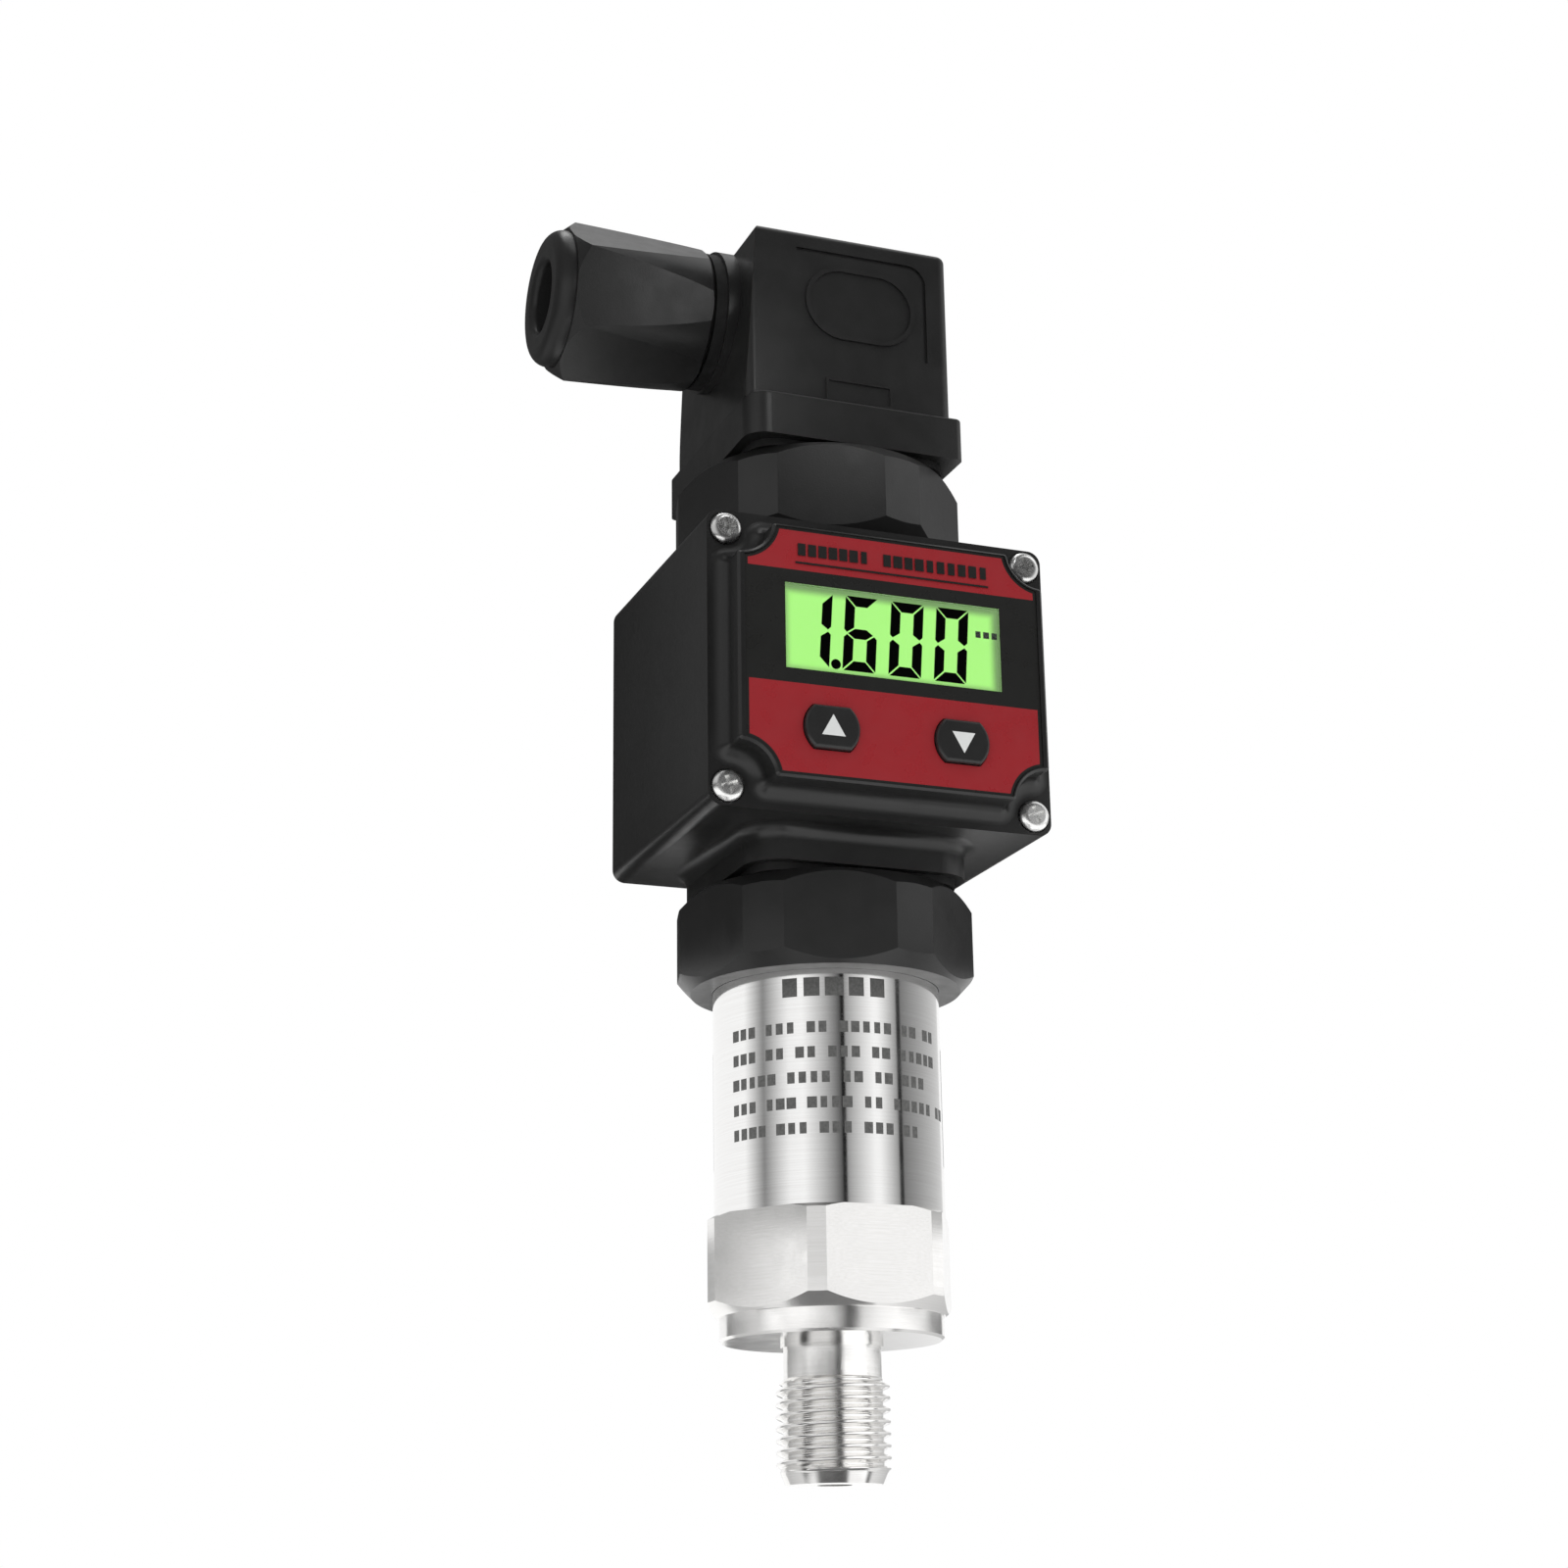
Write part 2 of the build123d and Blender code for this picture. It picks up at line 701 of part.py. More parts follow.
# display cover
with BuildPart() as display_cover:
    with BuildSketch(front_plane(joint_y)):
        RectangleRounded(box_w, box_h, box_corner_r)
    extrude(amount=joint_y - plate_y)
    with BuildSketch(front_plane(plate_y)) as panel_outline:
        add(scalloped(panel_w, panel_h, panel_scallop_r))
        fillet(panel_outline.vertices(), 0.5)
    extrude(amount=plate_y - panel_y)
    foot = display_cover.edges().filter_by_position(Axis.Y, plate_y - 0.01, plate_y + 0.01)
    foot = foot.filter_by_position(Axis.X, -panel_w / 2 - 0.05, panel_w / 2 + 0.05)
    foot = foot.filter_by_position(Axis.Z, face_z - panel_h / 2 - 0.05, face_z + panel_h / 2 + 0.05)
    fillet(foot, min(panel_foot_r, panel_inset_x - 0.15))
    rim = display_cover.edges().filter_by_position(Axis.Y, panel_y - 0.01, panel_y + 0.01)
    chamfer(rim, 0.3)
    with BuildSketch(front_plane(panel_y)):
        add(scalloped(label_w + part_gap, label_h + part_gap, label_scallop_r - part_gap))
    extrude(amount=-(label_depth + label_t), mode=Mode.SUBTRACT)
    with BuildSketch(front_plane(joint_y)):
        add(scalloped(cavity_w, cavity_h, cavity_scallop_r))
    extrude(amount=joint_y - panel_y - panel_wall, mode=Mode.SUBTRACT)
    with BuildSketch(front_plane(panel_y, window_z)):
        Rectangle(window_w + 2 * part_gap, window_h + 2 * part_gap)
    extrude(amount=-panel_wall, mode=Mode.SUBTRACT)
    with BuildSketch(front_plane(panel_y, key_z)):
        add(key_outlines(key_fit))
    extrude(amount=-panel_wall, mode=Mode.SUBTRACT)
    with BuildSketch(front_plane(plate_y)):
        with Locations(*screw_spots):
            Circle(cover_head_r + 3 * part_gap)
    extrude(amount=-cover_head_sink, mode=Mode.SUBTRACT)
    with BuildSketch(front_plane(plate_y)):
        with Locations(*screw_spots):
            Circle(cover_shank_r + 0.35)
    extrude(amount=-(joint_y - plate_y), mode=Mode.SUBTRACT)
    with BuildSketch(front_plane(joint_y)):
        gasket_seat = 2 * (gasket_out + small_gap)
        add(scalloped(opening_w + gasket_seat, opening_h + gasket_seat, screw_land_r))
        Rectangle(cavity_w + 2 * part_gap, cavity_h + 2 * part_gap, mode=Mode.SUBTRACT)
    extrude(amount=gasket_t, mode=Mode.SUBTRACT)
display_cover.part.label = "display_cover"
export_step(display_cover.part, "parts/display_cover.step")

head_y = plate_y + cover_head_sink
with BuildPart() as cover_screws:
    with BuildSketch(front_plane(head_y)):
        with Locations(*screw_spots):
            Circle(cover_head_r)
    extrude(amount=cover_head_h)
    fillet(cover_screws.edges().group_by(Axis.Y)[0], cover_head_round)
    with BuildSketch(front_plane(head_y)):
        with Locations(*screw_spots):
            Circle(cover_shank_r)
    extrude(amount=-cover_shank_l)
    with BuildSketch(front_plane(head_y - cover_head_h)):
        with Locations(*screw_spots):
            Rectangle(cross_l, cross_w, rotation=20)
            Rectangle(cross_w, cross_l, rotation=20)
    extrude(amount=-cross_depth, mode=Mode.SUBTRACT)
cover_screws.part.label = "cover_screws"
export_step(cover_screws.part, "parts/cover_screws.step")

# front label and its coloured fields
label_y = panel_y + label_depth
with BuildPart() as front_label:
    with BuildSketch(front_plane(label_y)):
        add(scalloped(label_w, label_h, label_scallop_r))
        with Locations((0, window_z - face_z)):
            Rectangle(window_w + 2 * part_gap, window_h + 2 * part_gap, mode=Mode.SUBTRACT)
        with Locations((0, key_z - face_z)):
            add(key_outlines(key_fit), mode=Mode.SUBTRACT)
    extrude(amount=-label_t)
    with BuildSketch(front_plane(label_y)):
        add(red_outline())
    extrude(amount=-field_t, mode=Mode.SUBTRACT)
front_label.part.label = "front_label"
export_step(front_label.part, "parts/front_label.step")

with BuildPart() as label_red_fields:
    with BuildSketch(front_plane(label_y)):
        add(red_outline())
        with Locations((0, key_z - face_z)):
            add(key_outlines(key_fit), mode=Mode.SUBTRACT)
    extrude(amount=-field_t)
label_red_fields.part.label = "label_red_fields"
export_step(label_red_fields.part, "parts/label_red_fields.step")

# window, liquid crystal glass, segments, backlight
with BuildPart() as lcd_window:
    with BuildSketch(front_plane(label_y, window_z)):
        Rectangle(window_w, window_h)
    extrude(amount=-pane_t)
lcd_window.part.label = "lcd_window"
export_step(lcd_window.part, "parts/lcd_window.step")

segment_y = label_y + pane_t
lcd_y = segment_y + segment_t
with BuildPart() as lcd_glass:
    with BuildSketch(front_plane(lcd_y, window_z)):
        Rectangle(window_w, window_h)
    extrude(amount=-lcd_t)
lcd_glass.part.label = "lcd_glass"
export_step(lcd_glass.part, "parts/lcd_glass.step")


half_w = digit_w / 2
half_h = digit_h / 2
upright = [
    (half_w, half_h - digit_gap), (half_w, digit_gap + digit_nick), (half_w - digit_nick, digit_gap),
    (half_w - digit_bar, digit_bar / 2 + digit_gap), (half_w - digit_bar, half_h - digit_bar - digit_gap),
]
level = [
    (half_w - digit_gap, half_h), (half_w - digit_bar - digit_gap, half_h - digit_bar),
    (digit_bar + digit_gap - half_w, half_h - digit_bar), (digit_gap - half_w, half_h),
]
tip = half_w - digit_nick - digit_gap
inner = half_w - digit_bar - digit_gap
middle_bar = [
    (tip, 0), (inner, digit_bar / 2), (-inner, digit_bar / 2), (-tip, 0), (-inner, -digit_bar / 2),
    (inner, -digit_bar / 2),
]
bars = {
    "a": (level, 1, 1), "d": (level, 1, -1), "g": (middle_bar, 1, 1),
    "b": (upright, 1, 1), "c": (upright, 1, -1), "e": (upright, -1, -1), "f": (upright, -1, 1),
}


def bar_points(letter, middle):
    """The corners of one mitred display bar, mirrored into its place and leaning with its digit."""
    shape, side, up = bars[letter]
    return [(middle + px * side + pz * up * digit_lean, pz * up) for px, pz in shape]


digits = ["bc", "acdefg", "abcdef", "abcdef"]
with BuildPart() as lcd_segments:
    for place, lit in enumerate(digits):
        for letter in lit:
            with BuildSketch(front_plane(lcd_y, window_z)):
                with BuildLine():
                    Polyline(*bar_points(letter, digit_first_x + place * digit_pitch), close=True)
                make_face()
            extrude(amount=segment_t)
    with BuildSketch(front_plane(lcd_y, window_z)):
        with Locations((digit_first_x + half_w + point_gap, point_r - half_h)):
            Circle(point_r)
    extrude(amount=segment_t)
lcd_segments.part.label = "lcd_segments"
export_step(lcd_segments.part, "parts/lcd_segments.step")

backlight_y = lcd_y + lcd_t
with BuildPart() as lcd_backlight:
    with BuildSketch(front_plane(backlight_y, window_z)):
        Rectangle(window_w + 2 * backlight_over, window_h + 2 * backlight_over)
    extrude(amount=-backlight_t)
lcd_backlight.part.label = "lcd_backlight"
export_step(lcd_backlight.part, "parts/lcd_backlight.step")

# keys: cap, retaining flange and stem in one piece
cover_back_y = panel_y + panel_wall
key_top_y = label_y - key_rise
key_flange_y = cover_back_y + part_gap
key_end_y = key_flange_y + key_flange_t


def key_cap(x):
    """A push key whose outline is a circle between two flats, with a wider flange behind the cover."""
    with BuildPart() as key:
        with BuildSketch(front_plane(key_flange_y, key_z)):
            with Locations((x, 0)):
                Circle(key_r)
                Rectangle(2 * key_r, key_flat, mode=Mode.INTERSECT)
        extrude(amount=key_flange_y - key_top_y)
        fillet(key.edges().group_by(Axis.Y)[0], 0.45)
        with BuildSketch(front_plane(key_flange_y, key_z)):
            with Locations((x, 0)):
                Circle(key_r + key_flange)
                Rectangle(2 * key_r + 2, key_flat + 2 * key_flange, mode=Mode.INTERSECT)
        extrude(amount=-key_flange_t)
    return key


def arrow_points(x, way):
    """The triangle printed on a key, way is 1 for up and -1 for down."""
    return [(x, 1.5 * way), (x - 1.45, -1.05 * way), (x + 1.45, -1.05 * way)]


def arrow(x, way):
    """The triangular inlay, level with the key's face."""
    with BuildPart() as mark:
        with BuildSketch(front_plane(key_top_y, key_z)):
            with BuildLine():
                Polyline(*arrow_points(x, way), close=True)
            make_face()
        extrude(amount=-0.15)
    return mark


up_arrow_mark = arrow(-key_x, 1)
up_arrow_mark.part.label = "up_arrow_mark"
export_step(up_arrow_mark.part, "parts/up_arrow_mark.step")

down_arrow_mark = arrow(key_x, -1)
down_arrow_mark.part.label = "down_arrow_mark"
export_step(down_arrow_mark.part, "parts/down_arrow_mark.step")

with BuildPart() as up_button:
    add(key_cap(-key_x).part)
    add(up_arrow_mark.part, mode=Mode.SUBTRACT)
up_button.part.label = "up_button"
export_step(up_button.part, "parts/up_button.step")

with BuildPart() as down_button:
    add(key_cap(key_x).part)
    add(down_arrow_mark.part, mode=Mode.SUBTRACT)
down_button.part.label = "down_button"
export_step(down_button.part, "parts/down_button.step")

# display board and its switches
plunger_y = key_end_y + key_travel + switch_gap
switch_y = plunger_y + plunger_t
board_y = switch_y + switch_body_t
with BuildPart() as display_board:
    with BuildSketch(front_plane(board_y)):
        add(scalloped(cavity_w - 2 * board_gap, cavity_h - 2 * board_gap, cavity_scallop_r + board_gap))
    extrude(amount=-board_t)
display_board.part.label = "display_board"
export_step(display_board.part, "parts/display_board.step")

with BuildPart() as key_switches:
    with BuildSketch(front_plane(board_y, key_z)):
        with Locations((-key_x, 0), (key_x, 0)):
            Rectangle(switch_side, switch_side)
    extrude(amount=board_y - switch_y)
    with BuildSketch(front_plane(switch_y, key_z)):
        with Locations((-key_x, 0), (key_x, 0)):
            Circle(plunger_r)
    extrude(amount=switch_y - plunger_y)
key_switches.part.label = "key_switches"
export_step(key_switches.part, "parts/key_switches.step")

with BuildPart() as display_chips:
    with BuildSketch(front_plane(board_y + board_t)):
        with Locations((0, display_chip_up)):
            Rectangle(display_chip, display_chip)
        with Locations((-side_chip_x, -side_chip_down), (side_chip_x, -side_chip_down)):
            Rectangle(side_chip_w, side_chip_h)
    extrude(amount=-chip_t)
display_chips.part.label = "display_chips"
export_step(display_chips.part, "parts/display_chips.step")

# upper joint
upper_union_nut = union_nut(upper_rim)
upper_union_nut.part.label = "upper_union_nut"
export_step(upper_union_nut.part, "parts/upper_union_nut.step")

upper_socket_base = socket_base(upper_rim, False)
upper_socket_base.part.label = "upper_socket_base"
export_step(upper_socket_base.part, "parts/upper_socket_base.step")

upper_base_blades = base_blades(upper_rim)
upper_base_blades.part.label = "upper_base_blades"
export_step(upper_base_blades.part, "parts/upper_base_blades.step")

collar_seal_ring = rim_seal(upper_rim)
collar_seal_ring.part.label = "collar_seal_ring"
export_step(collar_seal_ring.part, "parts/collar_seal_ring.step")

plug_gasket = flat_gasket(lip_top + stage_rise)
plug_gasket.part.label = "plug_gasket"
export_step(plug_gasket.part, "parts/plug_gasket.step")

# plug housing
plug_left = flange_side / 2
screw_seat_z = plug_top - 2.6
with BuildPart() as plug_housing:
    with BuildSketch(Plane.XY.offset(plug_z)) as flange_outline:
        with Locations((0, (flange_back_y - plug_left) / 2)):
            Rectangle(flange_side, flange_back_y + plug_left)
        gland_front = (-plug_left, -plug_left)
        fillet(flange_outline.vertices().sort_by_distance(gland_front)[1:], flange_edge_r)
        fillet(flange_outline.vertices().sort_by_distance(gland_front)[0], flange_corner_r)
    extrude(amount=flange_h)
    fillet(plug_housing.edges().group_by(Axis.Z)[-1], 0.4)
    with BuildSketch(Plane.XY.offset(flange_top - 0.5)):
        with Locations(((block_right - plug_left) / 2, 0)):
            RectangleRounded(block_right + plug_left, 2 * block_front, 1.2)
    extrude(amount=plug_top - flange_top + 0.5)
    with BuildSketch(Plane.XZ):
        with BuildLine():
            Polyline(
                (-plug_left, flange_top - 0.4), (-block_left_top, plug_top), (-block_left_top, plug_top + 2),
                (-plug_left - 3, plug_top + 2), (-plug_left - 3, flange_top - 0.4), close=True,
            )
        make_face()
    extrude(amount=20, both=True, mode=Mode.SUBTRACT)
    fillet(plug_housing.edges().group_by(Axis.Z)[-1], 1.0)
    with BuildSketch(side_plane(gland_boss_x)):
        Circle(gland_boss_r)
    extrude(amount=3.0)
    with BuildSketch(side_plane(neck_end_x)):
        Circle(neck_thread_r)
    extrude(amount=gland_boss_x - neck_end_x + 1)
    with BuildSketch(Plane.XY.offset(plug_z)):
        RectangleRounded(plug_cavity, plug_cavity, 2)
    extrude(amount=plug_h - plug_top_t, mode=Mode.SUBTRACT)
    with BuildSketch(Plane.XY.offset(plug_top - plug_top_t - 7.8)):
        Circle(4.6)
    extrude(amount=8.5)
    with BuildSketch(Plane.XY.offset(plug_top - plug_top_t - 8)):
        Circle(fixing_hole_r)
    extrude(amount=12, mode=Mode.SUBTRACT)
    with BuildSketch(Plane.XY.offset(screw_seat_z)):
        Circle(fixing_head_r + 0.55)
    extrude(amount=4, mode=Mode.SUBTRACT)
    with BuildSketch(side_plane(neck_end_x)):
        Circle(cable_bore_r)
    extrude(amount=-neck_end_x - plug_cavity / 2 + 1, mode=Mode.SUBTRACT)
    with BuildSketch(side_plane(neck_end_x)):
        Circle(seal_seat_r)
    extrude(amount=seal_seat_x - neck_end_x, mode=Mode.SUBTRACT)
    # groove line framing the front face, along the top and down the right side
    with BuildPart(mode=Mode.SUBTRACT):
        frame_x = block_right - frame_in
        frame_z = plug_top - frame_down
        with BuildLine(front_plane(-block_front, 0)) as groove_path:
            Line((frame_x - frame_across, frame_z), (frame_x - frame_r, frame_z))
            RadiusArc((frame_x - frame_r, frame_z), (frame_x, frame_z - frame_r), frame_r)
            Line((frame_x, frame_z - frame_r), (frame_x, frame_z - frame_drop))
        with BuildSketch(Plane(origin=groove_path.line @ 0, x_dir=(0, 1, 0), z_dir=groove_path.line % 0)):
            Rectangle(frame_w, frame_t)
        sweep(path=groove_path.line)
    # plain raised ring and shallow panel on the front face
    with BuildSketch(front_plane(-block_front, plug_top - badge_down)):
        with Locations((badge_x, 0)):
            SlotOverall(badge_w, badge_h)
            SlotOverall(badge_w - 2 * badge_line, badge_h - 2 * badge_line, mode=Mode.SUBTRACT)
    extrude(amount=badge_rise)
    with BuildSketch(front_plane(-block_front, plug_top - plate_down)):
        with Locations((plate_x, 0)):
            Rectangle(plate_w, plate_h)
            Rectangle(plate_w - 2 * plate_line, plate_h - 2 * plate_line, mode=Mode.SUBTRACT)
    extrude(amount=plate_rise)
plug_housing.part.label = "plug_housing"
export_step(plug_housing.part, "parts/plug_housing.step")

plug_block_z = pedestal_top + stage_rise + block_lift
plug_block_top = plug_block_z + plug_block_h
plug_contact_block = contact_block(plug_block_z, plug_block_top, plug_cavity - 0.4, plug_block_z)
plug_contact_block.part.label = "plug_contact_block"
export_step(plug_contact_block.part, "parts/plug_contact_block.step")

plug_contacts = spring_contacts(plug_block_z + block_lift, plug_block_top - slot_cover)
plug_contacts.part.label = "plug_contacts"
export_step(plug_contacts.part, "parts/plug_contacts.step")

with BuildPart() as terminal_screws:
    with BuildSketch(Plane.XY.offset(plug_block_top)):
        with PolarLocations(terminal_reach, 4, start_angle=45):
            Circle(terminal_r)
    extrude(amount=terminal_h)
    with BuildSketch(Plane.XY.offset(plug_block_top + terminal_h)):
        with PolarLocations(terminal_reach, 4, start_angle=45):
            Rectangle(0.6, 2 * terminal_r + 0.6)
    extrude(amount=-0.6, mode=Mode.SUBTRACT)
terminal_screws.part.label = "terminal_screws"
export_step(terminal_screws.part, "parts/terminal_screws.step")

screw_washer_h = 0.5
central_screw = slotted_screw(screw_seat_z + screw_washer_h, upper_rim + 1.0)
central_screw.part.label = "central_screw"
export_step(central_screw.part, "parts/central_screw.step")

with BuildPart() as central_screw_seal:
    with BuildSketch(Plane.XY.offset(screw_seat_z)):
        Circle(fixing_head_r)
        Circle(shank_r + small_gap, mode=Mode.SUBTRACT)
    extrude(amount=screw_washer_h)
central_screw_seal.part.label = "central_screw_seal"
export_step(central_screw_seal.part, "parts/central_screw_seal.step")

# cable gland
with BuildPart() as gland_grommet:
    with BuildSketch(side_plane(seal_seat_x - grommet_l)):
        Circle(seal_seat_r - small_gap)
        Circle(grommet_bore_r, mode=Mode.SUBTRACT)
    extrude(amount=grommet_l)
gland_grommet.part.label = "gland_grommet"
export_step(gland_grommet.part, "parts/gland_grommet.step")

with BuildPart() as gland_ring:
    with BuildSketch(side_plane(gland_nut_x + gland_ring_gap)):
        Circle(gland_ring_r)
        Circle(neck_thread_r + thread_fit, mode=Mode.SUBTRACT)
    extrude(amount=gland_boss_x - gland_nut_x - gland_ring_gap)
gland_ring.part.label = "gland_ring"
export_step(gland_ring.part, "parts/gland_ring.step")

shoulder_x = neck_end_x - gland_clear
with BuildPart() as gland_washer:
    with BuildSketch(side_plane(shoulder_x + part_gap)):
        Circle(seal_seat_r - small_gap)
        Circle(mouth_r + small_gap, mode=Mode.SUBTRACT)
    extrude(amount=washer_t)
gland_washer.part.label = "gland_washer"
export_step(gland_washer.part, "parts/gland_washer.step")

with BuildPart() as gland_nut:
    with BuildSketch(side_plane(gland_hex_end_x)):
        RegularPolygon(gland_nut_af / 2, 6, major_radius=False, rotation=gland_hex_turn)
    extrude(amount=gland_nut_x - gland_hex_end_x)
    with BuildSketch(Plane.XZ.offset(0)):
        with BuildLine():
            Polyline(
                (gland_hex_end_x, gland_z), (gland_hex_end_x, gland_z + snout_r + snout_step),
                (gland_hex_end_x + gland_front_l, gland_z + gland_nut_r_out),
                (gland_nut_x - 0.5, gland_z + gland_nut_r_in), (gland_nut_x, gland_z + gland_nut_r_in - 0.5),
                (gland_nut_x, gland_z), close=True,
            )
        make_face()
    revolve(axis=Axis((0, 0, gland_z), (1, 0, 0)), mode=Mode.INTERSECT)
    with BuildSketch(side_plane(snout_end_x)):
        Circle(snout_r)
    extrude(amount=gland_hex_end_x - snout_end_x + 1)
    fillet(gland_nut.edges().group_by(Axis.X)[0], snout_round)
    with BuildSketch(side_plane(snout_end_x)):
        Circle(mouth_r)
    extrude(amount=gland_nut_x - snout_end_x, mode=Mode.SUBTRACT)
    fillet(gland_nut.edges().group_by(Axis.X)[0], mouth_round)
    with BuildSketch(side_plane(shoulder_x)):
        Circle(neck_thread_r + thread_fit)
    extrude(amount=gland_nut_x - shoulder_x, mode=Mode.SUBTRACT)
gland_nut.part.label = "gland_nut"
export_step(gland_nut.part, "parts/gland_nut.step")
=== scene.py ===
import json
import math
import random

import bmesh
import bpy
from mathutils import Matrix, Vector


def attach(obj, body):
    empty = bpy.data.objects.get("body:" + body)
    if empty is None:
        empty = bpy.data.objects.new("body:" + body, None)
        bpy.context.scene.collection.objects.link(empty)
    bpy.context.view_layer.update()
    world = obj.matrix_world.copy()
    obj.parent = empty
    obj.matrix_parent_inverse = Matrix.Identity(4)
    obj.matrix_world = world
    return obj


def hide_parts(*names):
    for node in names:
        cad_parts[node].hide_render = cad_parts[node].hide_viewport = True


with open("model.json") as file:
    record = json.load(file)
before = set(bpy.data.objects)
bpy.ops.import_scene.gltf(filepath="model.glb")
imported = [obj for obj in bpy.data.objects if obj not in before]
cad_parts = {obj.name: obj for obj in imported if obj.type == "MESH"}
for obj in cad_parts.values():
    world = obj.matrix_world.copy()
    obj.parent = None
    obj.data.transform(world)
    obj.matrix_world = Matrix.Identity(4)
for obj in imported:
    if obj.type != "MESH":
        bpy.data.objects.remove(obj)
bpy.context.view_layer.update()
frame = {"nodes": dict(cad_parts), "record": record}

# The looks of the pressure transmitter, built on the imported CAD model.
# Metres, +Z up the axis, the display faces -Y, the gland points to -X.
MM = 0.001
NODES = frame["nodes"]

# Sizes that the CAD part also has, in millimetres: the stem, then the tube, then the display.
THREAD_R = 6.5785
THREAD_TOP = 10.9
TIP_CHAMFER = 1.05
NECK_R = 5.65
PORT_R = 2.0
TUBE_R = 13.5
WINDOW_W = 27.1
WINDOW_H = 10.4
WINDOW_Z = 94.3
LABEL_FACE = -23.45
DISPLAY_Y = -22.71

# The cut thread that the solids lack, and the height at which it joins the CAD fitting's neck.
THREAD_PITCH = 1.337
THREAD_ROOT_R = 5.72
NECK_CUT = 12.4

# The stem's smooth lead: its top, its widening per millimetre and how fast the thread sets in.
LEAD_TOP = 1.3
LEAD_SLOPE = 0.45
LEAD_FADE = 0.7

# Print, drawn as plain blocks: heights on the axis, and the pitch and height of one block.
BAR_T = 0.03
HEADER_Z = 103.7
HEADER_TALL = 1.5
HEADER_RULE_Z = 102.05
HEADER_RULE_W = 24.5
HEADER_RULE_T = 0.24
UNIT_Z = 96.1
UNIT_PITCH = 1.05
UNIT_TALL = 0.8
TITLE_Z = 54.9
TITLE_PITCH = 2.6
TITLE_TALL = 2.2
ROW_COUNT = 5
ROW_TOP_Z = 50.2
ROW_STEP = 2.9
ROW_LEFT = -17.9
ROW_PITCH = 1.35
ROW_TALL = 1.3

# The camera of the product picture: low, to the left of the part, looking up.
# Its place, lens and sensor are in millimetres, its turns in degrees.
EYE = (-121.92, -299.73, -17.21)
LENS = 63.54
SENSOR_W = 36
CAMERA_TURN = 21.323
CAMERA_RISE = 17.280
CAMERA_ROLL = -0.840

# The stage: floor height in millimetres, and the reach of the reflector cards in metres.
FLOOR_Z = -20.0
FLOOR_SIZE = 3
FAR_REACH = 0.7
NEAR_REACH = 0.07
UNDER_REACH = 0.071
TENT_REACH = 0.062
GLAND_REACH = 0.06
SKIRT_REACH = 0.03
LAMP_AIM = (0, 0, 0.08)

# How finely the thread and the cards are turned, from which angle in degrees an edge is sharp,
# and from which length in millimetres a block's edge is bent round the tube.
THREAD_STEPS = 72
PROFILE_STEPS = 14
CARD_STEPS = 24
SHARP_ANGLE = 18
LONG_EDGE = 0.3


def to_linear(code):
    """A colour written as sRGB hex, as the linear values a shader takes."""
    parts = [int(code[i:i + 2], 16) / 255 for i in (1, 3, 5)]
    return [p / 12.92 if p <= 0.04045 else ((p + 0.055) / 1.055) ** 2.4 for p in parts] + [1.0]


def add(tree, kind, inputs=(), **settings):
    """Adds one node with its settings; an input takes a value or another node's socket."""
    made = tree.nodes.new("ShaderNode" + kind)
    for name, value in settings.items():
        setattr(made, name, value)
    for name, value in dict(inputs).items():
        if isinstance(value, bpy.types.NodeSocket):
            tree.links.new(value, made.inputs[name])
        else:
            made.inputs[name].default_value = value
    return made


def new_tree(name):
    material = bpy.data.materials.new(name)
    material.use_nodes = True
    material.node_tree.nodes.clear()
    return material, material.node_tree


def surface(tree, inputs):
    shader = add(tree, "BsdfPrincipled", inputs)
    add(tree, "OutputMaterial", {"Surface": shader.outputs["BSDF"]})


def pattern_space(tree, size, stretch=(1, 1, 1)):
    """Object coordinates in which one unit is size millimetres, times stretch on each axis."""
    where = add(tree, "TexCoord").outputs["Object"]
    scale = [1 / (size * MM * s) for s in stretch]
    return add(tree, "Mapping", {"Vector": where, "Scale": scale}).outputs["Vector"]


def ring_space(tree, size):
    """Distance from the Z axis and height, in units of size millimetres: the path of a lathe tool."""
    where = add(tree, "TexCoord").outputs["Object"]
    flat = add(tree, "VectorMath", {0: where, 1: (1, 1, 0)}, operation="MULTIPLY").outputs[0]
    reach = add(tree, "VectorMath", {0: flat}, operation="LENGTH").outputs["Value"]
    height = add(tree, "SeparateXYZ", {0: where}).outputs["Z"]
    both = add(tree, "CombineXYZ", {"X": reach, "Z": height}).outputs[0]
    scale = 1 / (size * MM)
    return add(tree, "VectorMath", {0: both, "Scale": scale}, operation="SCALE").outputs[0]


def speckle(tree, space, low, high, detail=3.0):
    """A noise value brought to the range low to high."""
    noise = add(tree, "TexNoise", {"Vector": space, "Scale": 1.0, "Detail": detail}).outputs[0]
    ranged = {"Value": noise, "From Min": 0.3, "From Max": 0.7, "To Min": low, "To Max": high}
    return add(tree, "MapRange", ranged).outputs[0]


def colour_mix(tree, value, dark, light):
    """A colour between two hex colours, by a value from 0 to 1."""
    mix = add(tree, "Mix", data_type="RGBA")
    tree.links.new(value, mix.inputs[0])
    mix.inputs[6].default_value = to_linear(dark)
    mix.inputs[7].default_value = to_linear(light)
    return mix.outputs[2]


def bump(tree, height, depth):
    """Surface relief whose full height is depth millimetres."""
    inputs = {"Height": height, "Distance": depth * MM, "Strength": 1.0}
    return add(tree, "Bump", inputs).outputs["Normal"]


